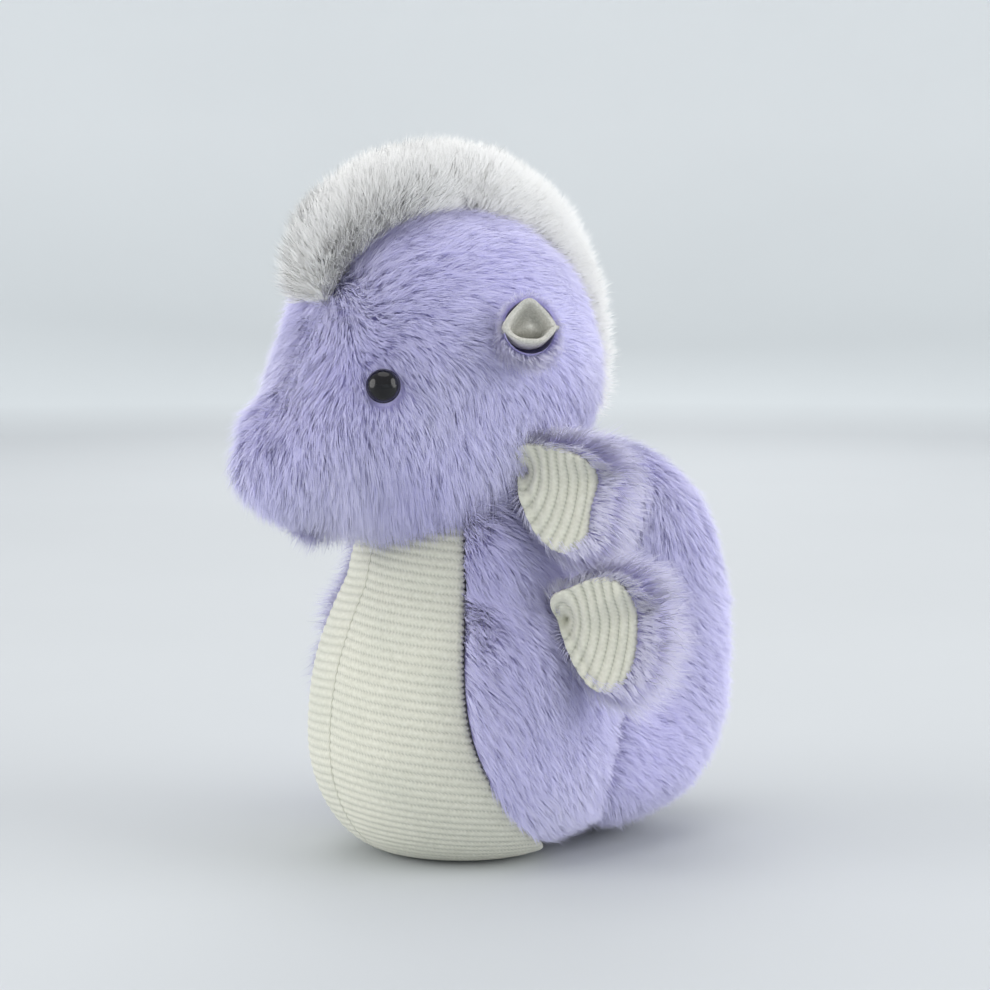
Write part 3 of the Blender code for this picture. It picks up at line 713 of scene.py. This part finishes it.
def make_body():
    rows, columns = 90, 70

    def first(heights):
        return belly_edge(heights) + 0.1 * MM / np.maximum(torso_radius(heights), 3 * MM)

    def last(heights):
        return math.pi - 0.1 * MM / np.maximum(torso_radius(heights), 3 * MM)

    def keep(roots, normals):
        return (roots[:, 2] > 2.0 * MM) & ~in_head(roots, -6 * MM) & ~in_tail(roots, 6 * MM)

    def length(roots):
        low = 1 - smooth(roots[:, 2], 1 * MM, 22 * MM)
        return PILE - 2.5 * MM * low + 6.5 * MM * by_seam(roots)

    def by_seam(roots):
        return (1 - smooth(from_seam(roots), 4 * MM, 16 * MM)) * smooth(roots[:, 2], 28 * MM, 46 * MM)

    def raise_up(roots):
        return 0.52 * by_seam(roots)

    def grid_at(depth):
        grid = fill_haunch(torso_grid(rows, columns, first, last, depth)[0])
        grid[..., 2] = np.maximum(grid[..., 2], 0.3 * MM)
        return grid

    for side in SIDES.values():
        add_fur("body", side, backing_grids(grid_at), 0.85, LILAC, body_flow, length, "torso", wrap=False,
                outside=(0, 0, 60 * MM), keep=keep, raise_up=raise_up)


# Head


def head_field(points):
    """Below zero inside the head's surface, above zero outside it."""
    total = 0
    for centre, radii in HEAD_LUMPS:
        reach = np.linalg.norm((points - centre) / np.array(radii), axis=-1)
        total = total + np.exp(-(reach - 1) / HEAD_BLEND)
    return HEAD_SLIM - HEAD_BLEND * np.log(total)


def head_normal(point):
    steps = np.eye(3) * 0.05 * MM
    return unit(np.stack([head_field(point + step) - head_field(point - step) for step in steps], -1))


def head_reach(directions):
    low = np.full(directions.shape[:-1], 5 * MM)
    high = np.full(directions.shape[:-1], 120 * MM)
    for _ in range(30):
        middle = (low + high) / 2
        inside = head_field(HEAD_HEART + directions * middle[..., None]) < 0
        low, high = np.where(inside, middle, low), np.where(inside, high, middle)
    return (low + high) / 2


def head_directions(turns, leans):
    """Unit vectors: turn runs round the X axis from the back over the top, and lean tips towards +X."""
    turns, leans = np.radians(turns)[None, :], np.radians(leans)[:, None]
    parts = [np.sin(leans) + 0 * turns, np.cos(leans) * np.cos(turns), np.cos(leans) * np.sin(turns)]
    return np.stack(parts, -1)


def head_point(directions, height):
    reach = head_reach(directions)
    return HEAD_HEART + directions * (reach + height)[..., None]


def out_of_ball(points, heart, centre, radius):
    """Points inside the ball slide back towards the heart until they are outside it."""
    ahead = points - heart
    distance = np.linalg.norm(ahead, axis=-1, keepdims=True)
    ahead = ahead / distance
    to_centre = centre - heart
    along = (ahead * to_centre).sum(-1, keepdims=True)
    inside = radius**2 - ((to_centre**2).sum() - along**2)
    first = along - np.sqrt(np.maximum(inside, 0))
    hit = (inside > 0) & (first > 0) & (distance > first)
    return heart + ahead * np.where(hit, first, distance)


def head_flow(points, normals):
    """Face fur runs back from the snout, down the cheeks and back over the crown."""
    back = np.array([0, 1.0, 0])
    low = smooth(-points[:, 2], -172 * MM, -138 * MM)[:, None]
    down = np.array([0, 0, -1.0])
    snout = smooth(-points[:, 1], 40 * MM, 62 * MM)[:, None]
    ahead = back * (0.85 - 0.55 * low) + down * (0.25 + 1.1 * low)
    aside = 0.10 * np.sign(points[:, :1]) * np.array([1.0, 0, 0])
    return ahead * (1 - snout) + (down * 0.9 + np.array([0, -0.12, 0])) * snout + aside


def jaw(points):
    """1 along the jaw and the cheeks' lower edge, where the fur is longest, and 0 above them."""
    return smooth(-points[:, 2], -136 * MM, -116 * MM) * smooth(points[:, 1], -62 * MM, -48 * MM)


def by_neck(points):
    """1 beside the front of the neck, where the head's fur hangs over it, and 0 away from it."""
    reach = np.linalg.norm(points - NECK_CENTRE, axis=-1)
    near = 1 - smooth(reach, NECK_RADIUS + 4 * MM, NECK_RADIUS + 12 * MM)
    return near * smooth(-points[:, 1], -12 * MM, 6 * MM)


def make_head():
    turns = np.linspace(0, 360, 100, endpoint=False)
    turns = turns - SNOUT_CROWDING * np.sin(np.radians(turns - SNOUT_TURN))
    leans = np.concatenate([np.linspace(0, 60, 34), np.linspace(62, 90, 14)])
    directions = head_directions(turns, leans)
    heart = HEAD_HEART + (0, 10 * MM, 10 * MM)
    eye = eye_place()[0]
    nostril = head_point(unit(NOSTRIL_DIRECTION)[None, :], 0)[0]
    ear = EAR_ROOT + 4 * MM * unit(EAR_AXIS)

    def grid_at(depth):
        grid = head_point(directions, -depth)
        cheek = smooth(grid[..., 1], -44 * MM, -18 * MM) * (1 - smooth(grid[..., 1], 6 * MM, 24 * MM))
        grid[..., 2] -= CHEEK_DROP * cheek * smooth(-grid[..., 2], -152 * MM, -126 * MM)
        grid = out_of_ball(grid, heart, NECK_CENTRE, NECK_RADIUS + NECK_CLEARANCE + depth - BACKING_DEPTH)
        grid[0, :, 0] = SEAM_GAP / 2
        grid[..., 0] = np.maximum(grid[..., 0], SEAM_GAP / 2)
        return grid

    def from_spot(roots, spot):
        """How far each root lies from a spot on its own side."""
        return np.linalg.norm(roots * (np.sign(roots[:, :1]) * (1, 0, 0) + (0, 1, 1)) - spot, axis=1)

    def keep(roots, normals):
        under = np.linalg.norm(roots - NECK_CENTRE, axis=1) < NECK_RADIUS + 2.5 * MM
        return (from_spot(roots, eye) >= 6.4 * MM) & ~under & (from_spot(roots, ear) >= 8.4 * MM)

    def length(roots):
        snout = smooth(-roots[:, 1], 30 * MM, 62 * MM)
        by_eye = 1 - smooth(from_spot(roots, eye), 7 * MM, 20 * MM)
        nose = 1 - smooth(from_spot(roots, nostril), 1.5 * MM, 7 * MM)
        beard = 7.0 * MM * np.maximum(jaw(roots), by_neck(roots))
        return PILE + 1.5 * MM * snout + beard - 4.0 * MM * by_eye - 5.0 * MM * nose

    def hang(roots):
        return 0.12 + 1.2 * np.maximum(jaw(roots), by_neck(roots))

    for side in SIDES.values():
        add_fur("head", side, backing_grids(grid_at), 0.9, LILAC, head_flow, length, "head",
                outside=HEAD_HEART, keep=keep, droop=hang)


def eye_place():
    direction = unit(EYE_DIRECTION)
    spot = head_point(direction[None, :], 0)[0]
    return spot, head_normal(spot)


def make_eyes():
    spot, out = eye_place()
    outline = [(1.0, -EYE_DEPTH), (1.06, -1.2 * MM), (1.06, -0.5 * MM), (1.0, 0.0)]
    outline += [(math.cos(a), EYE_DOME * math.sin(a)) for a in np.linspace(0.08, math.pi / 2 - 0.02, 22)]
    around = np.linspace(0, 2 * math.pi, EYE_SEGMENTS, endpoint=False)
    for side_name, side in SIDES.items():
        seat = mirrored(spot + out * EYE_SEAT, side)
        axis = unit(mirrored(out, side))
        first = unit(np.cross(axis, (0, 0.2, 1)))
        second = np.cross(axis, first)
        spokes = np.cos(around)[:, None] * first + np.sin(around)[:, None] * second
        rings = np.array([seat + spokes * (EYE_RADIUS * reach) + axis * rise for reach, rise in outline])
        ends = [seat + axis * EYE_DOME, seat - axis * EYE_DEPTH]
        points = np.concatenate([rings.reshape(-1, 3), ends])
        faces = [tuple(face) for face in quads(len(rings), EYE_SEGMENTS, True)]
        last, top = (len(rings) - 1) * EYE_SEGMENTS, len(rings) * EYE_SEGMENTS
        for i in range(EYE_SEGMENTS):
            j = (i + 1) % EYE_SEGMENTS
            faces.append((last + i, last + j, top))
            faces.append((j, i, top + 1))
        add_piece(f"eye_dome_{side_name}", points, faces, GLOSS, "head", f"eye_{side_name}")


def make_crest():
    turns = np.linspace(CREST_START + 3, CREST_END - 2, CREST_ROWS)
    across = np.linspace(-1, 1, 25)
    ends = np.sqrt(np.clip(1 - np.abs(np.linspace(-1, 1, CREST_ROWS)) ** 6, 0.02, 1))
    over, under = [], []
    for turn, end in zip(turns, ends):
        spread = np.degrees(CREST_HALF_WIDTH * (0.6 + 0.4 * end) / CREST_ARC_RADIUS)
        fall = CREST_NAPE_SHARE + (1 - CREST_NAPE_SHARE) * float(smooth(turn, *CREST_FALL))
        tall = CREST_TALL * (end * fall) * np.sqrt(1 - across**2) ** 0.8
        directions = head_directions(np.array([turn]), across * spread)[:, 0]
        over.append(head_point(directions, tall - CREST_SEAT))
        directions = head_directions(np.array([turn]), across * CREST_UNDER_SPREAD)[:, 0]
        under.append(head_point(directions, -CREST_UNDER_DEPTH))
    grid = np.array(over)
    skin = add_shell("crest_backing", (grid, under), 1, False, CREAM_BACKING, "head", "crest_fur")

    def flow(points, normals):
        return unit(points - HEAD_HEART) + np.array([0, 0.06, 0.5])

    def face(points, normals):
        front = smooth(-points[:, 1], 5 * MM, 40 * MM)[:, None]
        aside = np.sign(points[:, :1]) * np.array([0.9, 0, 0])
        return normals + aside * (1 - 0.7 * front) + np.array([0, -0.9, 0]) * front + np.array([0, 0, 0.8])

    grow("crest_fur_pile", "head", grid, CREAM, flow, CREST_PILE, density=7.0, lifts=(56, 38), width=0.21,
         clump=2.5, pull=0.06, spread=0.35, droop=0.02, wrap=False, outside=HEAD_HEART, sway=0.4, face=face)


# Ears


def ear_frame():
    axis = unit(EAR_AXIS)
    forward = unit(np.cross((0, 0, 1), axis))
    return axis, forward, np.cross(axis, forward)


def ear_outline(around):
    """The ear's reach at each angle, which has a peak on top and a corner at either side, and its peak."""
    peak = np.exp(-((np.angle(np.exp(1j * (around - math.pi / 2)))) ** 2) / 0.16)
    low = np.clip(-np.sin(around), 0, 1)
    turned = np.abs(np.angle(np.exp(1j * around)))
    corner = np.exp(-((turned % math.pi) ** 2) / 0.12)
    corner = corner + np.exp(-((np.pi - turned) ** 2) / 0.12)
    return EAR_SIZE * (0.96 + 0.20 * peak - 0.20 * low + 0.12 * corner), peak


def ear_dish(around, middle):
    """The suede's front: a rim rolled over at the back, a hollow with a lump in it, and a lip below."""
    axis, forward, upward = ear_frame()
    outline, peak = ear_outline(around)
    shares = np.concatenate([[1.03, 1.06, 1.05], np.linspace(1.0, 0.02, 44)])
    rows = []
    for i, share in enumerate(shares):
        x = share * outline * np.cos(around)
        y = share * outline * np.sin(around)
        inside = 1 - smooth(share, 0.60, 0.86)
        height = EAR_RIM_HEIGHT * (1 - inside) - EAR_HOLLOW * inside + 0 * x
        height = height + EAR_LUMP * np.exp(-((x / (3.2 * MM)) ** 2 + ((y - 0.6 * MM) / (2.6 * MM)) ** 2))
        across_lip = np.exp(-(((y + 0.62 * EAR_SIZE) / (1.3 * MM)) ** 2))
        height = height + (EAR_LIP * inside + EAR_LIP_RIM) * across_lip * (np.abs(x) < EAR_SIZE)
        groove = np.exp(-(((y + 0.26 * EAR_SIZE) / (0.9 * MM)) ** 2)) * inside
        height = height - EAR_GROOVE * groove
        if i < len(EAR_RIM_BACK):
            height = 0 * x + EAR_RIM_BACK[i] * MM
        height = height + EAR_PEAK * peak * share
        rows.append(middle + forward * -x[:, None] + upward * y[:, None] + axis * height[:, None])
    grid = np.array(rows)
    return grid + axis * (0.35 * MM * wobble(grid, 2.6 * MM, 31))[..., None]


def ear_cup(around, middle):
    """The cloth of the ear's furry back: a cup behind the dish."""
    axis, forward, upward = ear_frame()
    peak = ear_outline(around)[1]
    rows = []
    for share in np.linspace(0.05, 1, 24):
        bulge = 1.12 * EAR_SIZE * math.sin(share * math.pi / 2) ** 0.8
        ring = middle + axis * ((1 - math.cos(share * math.pi / 2)) * EAR_CUP_DEPTH - EAR_CUP_SET_BACK)
        ring = ring + upward * (bulge * np.sin(around) * (1 + 0.1 * peak))[:, None]
        rows.append(ring + forward * (0.95 * bulge * -np.cos(around))[:, None])
    return np.array(rows)


def make_ears():
    axis, forward, upward = ear_frame()
    around = np.linspace(0, 2 * math.pi, 120, endpoint=False)
    middle = EAR_ROOT + axis * EAR_STAND_OFF + forward * EAR_SHIFT[0] + upward * EAR_SHIFT[1]
    dish, cup = ear_dish(around, middle), ear_cup(around, middle)
    for side_name, side in SIDES.items():
        add_shell(f"ear_suede_{side_name}", (dish, dish - axis * EAR_THICK), side, True, SUEDE,
                  f"ear_{side_name}", f"ear_lining_{side_name}")

        def flow(roots, normals):
            return mirrored(np.broadcast_to(axis, roots.shape), side) * 0.9 + np.array([0, 0.1, -0.6])

        def length(roots):
            return 5.0 * MM + 3.5 * MM * smooth(middle[2] - roots[:, 2], 0, 7 * MM)

        # The ear's fur is the lilac pile painted lighter.
        add_fur("ear", side, (cup, cup + axis * BACKING_THICK), 0.5, LILAC_PAINTED_LIGHT, flow, length,
                lifts=(50, 25), outside=mirrored(middle, side))


# Tail


def tail_ring(share, around, inset):
    """A ring of the tail at a share of its length, moved inwards by inset."""
    length = math.radians(TAIL_END - TAIL_START) - inset / TAIL_PATH
    angle = math.radians(TAIL_START) + length * share
    curl = max(0.0, (share - 0.55) / 0.45)
    narrowing = 1 - 0.12 * curl
    back = TAIL_PATH + (TAIL_TIP_PATH - TAIL_PATH) * curl**2
    down = TAIL_PATH_DOWN if angle < 0 else back + (TAIL_PATH_UP - TAIL_PATH) * math.sin(angle) ** 2
    outward = np.array([0, math.cos(angle), math.sin(angle)])
    square = (np.abs(outward) ** TAIL_SQUARENESS).sum() ** (-1 / TAIL_SQUARENESS)
    spoke = np.array([0, back, down]) * outward * square
    left = (1 - share) * length * TAIL_PATH / (TAIL_RADIUS - inset)
    tip = math.sqrt(max(0.0, 1 - (1 - min(left / 1.15, 1)) ** 2))
    rim = (TAIL_RADIUS * narrowing - inset) * tip
    heart = (np.linalg.norm(spoke) - TAIL_HEART - inset) * tip
    root = TAIL_ROOT_EXTRA * (1 - smooth(share, 0, TAIL_ROOT_END))
    wide = (TAIL_HALF_WIDTH * narrowing + root - inset) * tip
    depth = np.where(np.cos(around) > 0, rim, heart) * np.cos(around)
    across = np.stack([np.sin(around) * wide, 0 * around, 0 * around], -1)
    return TAIL_CENTRE + spoke + depth[:, None] * outward + across


def in_tail(points, margin):
    """True where a point lies well inside the tail's root."""
    reach = np.hypot(points[:, 1] - TAIL_CENTRE[1], points[:, 2] - TAIL_CENTRE[2])
    within = np.abs(points[:, 0]) < TAIL_HALF_WIDTH - margin
    return (reach < TAIL_PATH + TAIL_RADIUS - margin - 6 * MM) & within


def out_of_torso(points, gap):
    """Points inside the torso move straight out from its axis until they are gap outside it."""
    points = np.array(points)
    centre = lean(points[..., 2])
    reach = np.hypot(points[..., 0], points[..., 1] - centre)
    wanted = torso_radius(np.clip(points[..., 2], 2 * MM, NECK_HEIGHT + NECK_RADIUS)) + gap
    share = np.where(reach < wanted, wanted / np.maximum(reach, 1e-6), 1)
    points[..., 0] *= share
    points[..., 1] = centre + (points[..., 1] - centre) * share
    return points


def tail_flow(points, normals):
    """Tail fur runs along the curl, from the root outwards, and hangs a little."""
    spoke = points - TAIL_CENTRE
    along = np.stack([0 * points[:, 0], -spoke[:, 2], spoke[:, 1]], 1)
    return unit(along) * 0.35 + np.array([0, 0.35, -0.75])


def make_tail():
    half = np.linspace(0, math.pi, 60)
    tip = 0.84 + 0.16 * np.sin(np.linspace(0.02, math.pi / 2, 24))
    shares = np.concatenate([np.linspace(0, 0.84, 80), tip])
    def grid_at(depth):
        grid = np.array([tail_ring(share, half, depth) for share in shares])
        grid = out_of_torso(grid, TAIL_CLEARANCE - BACKING_DEPTH)
        grid[..., 0] = np.maximum(grid[..., 0], SEAM_GAP / 2)
        return grid

    def keep(roots, normals):
        reach = np.hypot(roots[:, 0], roots[:, 1] - lean(roots[:, 2]))
        return reach > torso_radius(np.clip(roots[:, 2], 2 * MM, 0.129)) - 0.5 * MM

    for side in SIDES.values():
        add_fur("tail", side, backing_grids(grid_at), 0.85, LILAC, tail_flow, PILE, "tail", wrap=False,
                outside=TAIL_CENTRE, keep=keep)


# Fins

FIN_OUTLINES = {
    "upper": ((-2.2, 8.0), (5.0, 9.5), (14.0, 8.0), (21.5, 4.0), (23.6, -3.0), (21.6, -12.0), (20.8, -22.5),
              (14.5, -26.3), (7.0, -22.5), (1.6, -14.5), (-2.0, -4.0)),
    "lower": ((-4.2, 8.0), (2.5, 11.6), (10.5, 15.0), (17.0, 14.8), (21.8, 9.5), (23.2, -2.0), (22.4, -14.0),
              (18.5, -21.5), (11.5, -22.3), (5.4, -16.5), (1.0, -8.0), (-3.0, 0.5)),
}
FIN_PINCHES = {"upper": (9.0 * MM, 3.6 * MM), "lower": (4.4 * MM, 3.2 * MM)}


def closed_curve(corners, count):
    """Even points along a smooth closed curve through the corners."""
    corners = np.asarray(corners, float)
    total = len(corners)
    made = []
    for i in range(total):
        before, here, there, after = (corners[(i + k) % total] for k in (-1, 0, 1, 2))
        for share in np.linspace(0, 1, 24, endpoint=False):
            made.append(0.5 * (2 * here + (there - before) * share
                               + (2 * before - 5 * here + 4 * there - after) * share**2
                               + (3 * here - before - 3 * there + after) * share**3))
    made = np.array(made + made[:1])
    along = np.concatenate([[0], np.cumsum(np.linalg.norm(np.diff(made, axis=0), axis=1))])
    even = np.linspace(0, along[-1], count, endpoint=False)
    return np.stack([np.interp(even, along, made[:, k]) for k in (0, 1)], 1), even


def fin_frame(level):
    turn, height, upwards = FINS[level]
    reach = float(torso_radius(height + upwards)) + FIN_STAND_OFF
    turn = math.radians(turn)
    hinge = np.array([reach * math.sin(turn), lean(height) - reach * math.cos(turn), height])
    along = np.array([math.cos(FIN_SWEEP), math.sin(FIN_SWEEP), 0])
    front = np.array([math.sin(FIN_SWEEP), -math.cos(FIN_SWEEP), 0])
    return hinge, along, front


def fin_leaf(level):
    """The leaf's outline filled in: places on it, their distance from its root, and how they roll in."""
    edge, arc = closed_curve(np.array(FIN_OUTLINES[level]) * MM * FIN_SCALE, 300)
    rim = FIN_EDGE_START + (1 - FIN_EDGE_START) * np.sin(np.linspace(0.1, math.pi / 2, 12))
    shares = np.concatenate([np.linspace(0.0, FIN_EDGE_START, 90), rim])
    shares[0] = 0.004
    scallop = FIN_SCALLOP * np.cos(2 * math.pi * arc / FIN_SCALLOP_PITCH)
    flat = shares[:, None, None] * edge[None]
    flat = flat * (1 + scallop[None, :, None] * smooth(shares, 0.8, 1)[:, None, None])
    distance = np.sqrt(flat[..., 0] ** 2 + (0.5 * flat[..., 1]) ** 2)
    return flat, shares, distance


def fin_relief(level, flat, shares, distance):
    """The knit's height over the leaf, and the part of it that the fur's cloth shares."""
    crown = 1 - np.abs((distance / FIN_RIB % 1) * 2 - 1) ** 2
    beyond = np.clip((shares - FIN_EDGE_START) / (1 - FIN_EDGE_START), 0, 1)
    rolled = 1 - np.sqrt(np.clip(1 - beyond**2, 0, 1))
    funnel = FIN_FUNNEL * np.exp(-((np.linalg.norm(flat, axis=-1) / FIN_FUNNEL_REACH) ** 1.4))
    fold = FIN_FOLDS[level]
    beside = (flat @ np.array([math.sin(fold), -math.cos(fold)]))
    ahead = flat @ np.array([math.cos(fold), math.sin(fold)])
    facet = np.where(beside < 0, FIN_FACETS[0], FIN_FACETS[1]) * beside * smooth(ahead, 0, 9 * MM)
    crease = -FIN_CREASE * np.exp(-((beside / (1.1 * MM)) ** 2)) * smooth(ahead, 1 * MM, 5 * MM)
    height = FIN_KNIT_HEIGHT + FIN_RIB_RELIEF * crown + facet + crease
    height = height - funnel - FIN_EDGE_ROLL * rolled[:, None]
    places = np.stack([flat[..., 0], flat[..., 1], 0 * flat[..., 0]], -1)
    height = height + 0.5 * MM * wobble(places, 9 * MM, 41)
    cup = FIN_CUP * (flat[..., 1] / (20 * MM)) ** 2
    return height + cup, cup - FIN_THICK - funnel + facet


def make_fins():
    for level in FIN_OUTLINES:
        hinge, along, front = fin_frame(level)
        out, up = FIN_PINCHES[level]
        pinch = hinge + along * (out - FIN_OUTWARDS) + np.array([0, 0, up])
        flat, shares, distance = fin_leaf(level)
        height, low = fin_relief(level, flat, shares, distance)

        def stand(places, heights):
            base = pinch + along * places[..., :1] + np.array([0, 0, 1]) * places[..., 1:2]
            return base + front * heights[..., None]

        wide = flat * (1.0 + FIN_FUR_OVERHANG * shares[:, None, None] * (flat > 0))
        bulge = FIN_BULGE * np.sqrt(np.clip(1 - shares**3, 0, 1))
        near = stand(wide, low - 0.5 * MM)
        far = near - front * (FIN_THICK + bulge[:, None, None])
        knit = (stand(flat, height), stand(flat, low))
        heart = pinch + along * FIN_HEART_OUT - np.array([0, 0, FIN_HEART_DOWN])
        for side_name, side in SIDES.items():
            body = f"fin_{level}_{side_name}"
            piece = add_shell(f"fin_{level}_knit_{side_name}", knit, side, True, KNIT, body,
                              f"fin_{level}_lining_{side_name}")
            lay_knit(piece, flat[..., 1] / STITCH, distance / FIN_RIB)
            middle, forward, outer = (mirrored(vector, side) for vector in (heart, front, along))

            def flow(roots, normals):
                away = roots - middle
                away = away - forward * (away @ forward)[:, None]
                return unit(away) + outer * 0.6 + np.array([0, 0, -0.2])

            def length(roots):
                return 6.5 * MM + 9.5 * MM * smooth((roots - middle) @ outer, -4 * MM, 12 * MM)

            def face(roots, normals):
                return unit(flow(roots, normals)) * 1.1 + forward * 0.8 + np.array([0, 0, 0.8])

            # The fins' fur is the lilac pile painted lighter.
            add_fur(f"fin_{level}", side, (near, far), 0.5, LILAC_PAINTED_LIGHT, flow, length, pile=1,
                    lifts=(42, 12), outside=middle + forward * 30 * MM, droop=0.05, face=face)
            grow(f"fin_{level}_fur_rim_{side_name}", body, mirrored(near[-20:], side), LILAC_PAINTED_LIGHT, flow,
                 6.5 * MM, lifts=(50, 10), outside=middle - forward * 30 * MM, droop=0.05, face=face)


# Hidden pieces keep their CAD shapes.


def dress_hidden_pieces():
    fibre = ((0.3, (0.72, 0.72, 0.72)), (0.7, (0.9, 0.9, 0.9)))
    cloth = ((0.3, (0.55, 0.55, 0.52)), (0.7, (0.68, 0.68, 0.64)))
    plastic = ((0.4, (0.74, 0.74, 0.74)), (0.6, (0.8, 0.8, 0.8)))
    looks = {
        "filling": cloth_material("polyester_fibre", fibre, 400),
        "pouch": cloth_material("pouch_cloth", cloth, 900),
        "washer": cloth_material("white_plastic", plastic, 200, 0.4, 0.02 * MM, 0),
    }
    for node_name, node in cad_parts.items():
        for word, look in looks.items():
            if word in node_name:
                node.data.materials.clear()
                node.data.materials.append(look)


# Studio

# Painted light: the paper lightens from the floor up the curve into the wall, in place of the lamps' light
# that does not reach it.
PAPER_PAINTED_LIGHT_BY_HEIGHT = (
    (0.0, (0.585, 0.61, 0.63)),
    (0.02, (0.75, 0.79, 0.81)),
    (0.12, (0.80, 0.84, 0.86)),
    (0.3, (0.86, 0.895, 0.915)),
    (1.0, (0.87, 0.905, 0.925)),
)


def make_studio():
    """A pale round sweep: a flat floor that curves up into a wall far from the toy. Painted light makes its
    paper lighter up the curve and the wall, where the lamps, which face the toy, send little light.
    """
    turns, floor, wall = 96, 1.6, 0.9
    profile = [(0.0, 0.0), (0.3, 0.0), (0.8, 0.0), (floor, 0.0)]
    bends = np.linspace(0.05, math.pi / 2, 24)
    profile += [(floor + wall * math.sin(a), wall - wall * math.cos(a)) for a in bends]
    around = np.linspace(0, 2 * math.pi, turns, endpoint=False)
    rings = np.array([[(max(r, 1e-4) * math.cos(a), max(r, 1e-4) * math.sin(a), z) for a in around]
                      for r, z in profile])
    mesh = bpy.data.meshes.new("studio_sweep")
    mesh.from_pydata(rings.reshape(-1, 3), [], quads(len(profile), turns, True)[:, ::-1].tolist())
    mesh.shade_smooth()
    look, tree, shader = new_material("studio_paper", 0.85)
    place = tree.nodes.new("ShaderNodeTexCoord")
    parts = tree.nodes.new("ShaderNodeSeparateXYZ")
    tree.links.new(place.outputs["Object"], parts.inputs["Vector"])
    painted_wall_light = ramp_node(tree, PAPER_PAINTED_LIGHT_BY_HEIGHT, parts.outputs["Z"])
    grain = ramp_node(tree, ((0.35, (0.98, 0.98, 0.98)), (0.65, (1.0, 1.0, 1.0))), noise_node(tree, 3))
    tree.links.new(multiply(tree, painted_wall_light, grain), shader.inputs["Base Color"])
    mesh.materials.append(look)
    sweep = bpy.data.objects.new("studio_sweep", mesh)
    bpy.context.scene.collection.objects.link(sweep)


def add_light(name, place, target, size, power, colour):
    light = bpy.data.lights.new(name, "AREA")
    light.shape = "DISK"
    light.size = size
    light.energy = power
    light.color = colour
    lamp = bpy.data.objects.new(name, light)
    lamp.location = place
    lamp.rotation_euler = (Vector(target) - Vector(place)).to_track_quat("-Z", "Y").to_euler()
    lamp.visible_camera = False
    bpy.context.scene.collection.objects.link(lamp)


def make_lights():
    middle = (0, 0, 0.11)
    add_light("overhead", (0.0, 0.0, 1.6), middle, 1.4, 6, (1.0, 0.99, 0.98))
    add_light("key", (-0.5, -1.5, 0.55), middle, 1.4, 15, (1.0, 0.99, 0.98))
    add_light("fill", (1.1, 1.0, 0.65), middle, 1.4, 14, (1.0, 1.0, 1.0))
    add_light("rim", (-1.2, 0.9, 0.9), middle, 1.2, 6, (1.0, 1.0, 1.0))
    world = bpy.data.worlds.new("studio_world")
    bpy.context.scene.world = world
    world.use_nodes = True
    glow = world.node_tree.nodes["Background"]
    glow.inputs["Color"].default_value = (0.96, 0.98, 1.0, 1)
    glow.inputs["Strength"].default_value = 0.6


CAMERA_AZIMUTH = math.radians(56)
CAMERA_ELEVATION = math.radians(6)
CAMERA_DISTANCE = 0.85
CAMERA_VIEW_WIDTH = 0.3168
AIM_HEIGHT = 0.1139
AIM_RIGHT = 0.01056
SENSOR = 36.0


def make_camera():
    right = np.array([math.cos(CAMERA_AZIMUTH), math.sin(CAMERA_AZIMUTH), 0])
    level = math.cos(CAMERA_ELEVATION)
    ahead = np.array([-math.sin(CAMERA_AZIMUTH), math.cos(CAMERA_AZIMUTH), 0])
    back = np.array([0, 0, math.sin(CAMERA_ELEVATION)]) - ahead * level
    aim = np.array([0, TORSO_Y, AIM_HEIGHT]) + right * AIM_RIGHT
    data = bpy.data.cameras.new("camera")
    data.sensor_width = SENSOR
    data.lens = SENSOR * CAMERA_DISTANCE / CAMERA_VIEW_WIDTH
    data.dof.use_dof = False
    camera = bpy.data.objects.new("camera", data)
    camera.location = aim + back * CAMERA_DISTANCE
    camera.rotation_euler = Vector(-back).to_track_quat("-Z", "Y").to_euler()
    bpy.context.scene.collection.objects.link(camera)
    bpy.context.scene.camera = camera


# Each pile's last colour is the painted shade at its fibres' roots, deep in the pile.
LILAC = pile_material(
    "lilac_pile",
    ((0.0, (0.61, 0.585, 0.92)), (0.5, (0.73, 0.71, 0.985)), (1.0, (0.83, 0.815, 1.0))),
    (0.70, 0.66, 0.90),
)
# Painted light: a lighter copy of the lilac pile, which stands in for the bright, glowing look of the fins'
# fur lobes; the ears' fur wears it too.
LILAC_PAINTED_LIGHT = pile_material(
    "lilac_pile_painted_light",
    ((0.0, (0.76, 0.735, 1.0)), (0.5, (0.84, 0.82, 1.0)), (1.0, (0.90, 0.89, 1.0))),
    (0.82, 0.79, 1.0),
)
CREAM = pile_material(
    "cream_pile",
    ((0.0, (0.93, 0.925, 0.90)), (0.5, (0.96, 0.96, 0.94)), (1.0, (0.98, 0.98, 0.97))),
    (0.97, 0.97, 0.95),
)
BACKING = cloth_material("lilac_backing", ((0.3, (0.50, 0.46, 0.80)), (0.7, (0.58, 0.55, 0.86))), 700)
CREAM_STOPS = ((0.3, (0.95, 0.945, 0.93)), (0.7, (0.97, 0.965, 0.95)))
CREAM_BACKING = cloth_material("cream_backing", CREAM_STOPS, 700)
SUEDE_STOPS = ((0.3, (0.50, 0.49, 0.44)), (0.7, (0.66, 0.65, 0.60)))
SUEDE = cloth_material("ear_suede_cloth", SUEDE_STOPS, 1500, bump_distance=0.3 * MM)
KNIT = knit_material()
GLOSS = gloss_material()

bpy.context.scene.view_settings.view_transform = "Standard"
make_studio()
make_lights()
make_camera()
make_belly()
make_body()
make_head()
make_crest()
make_eyes()
make_ears()
make_tail()
make_fins()
dress_hidden_pieces()
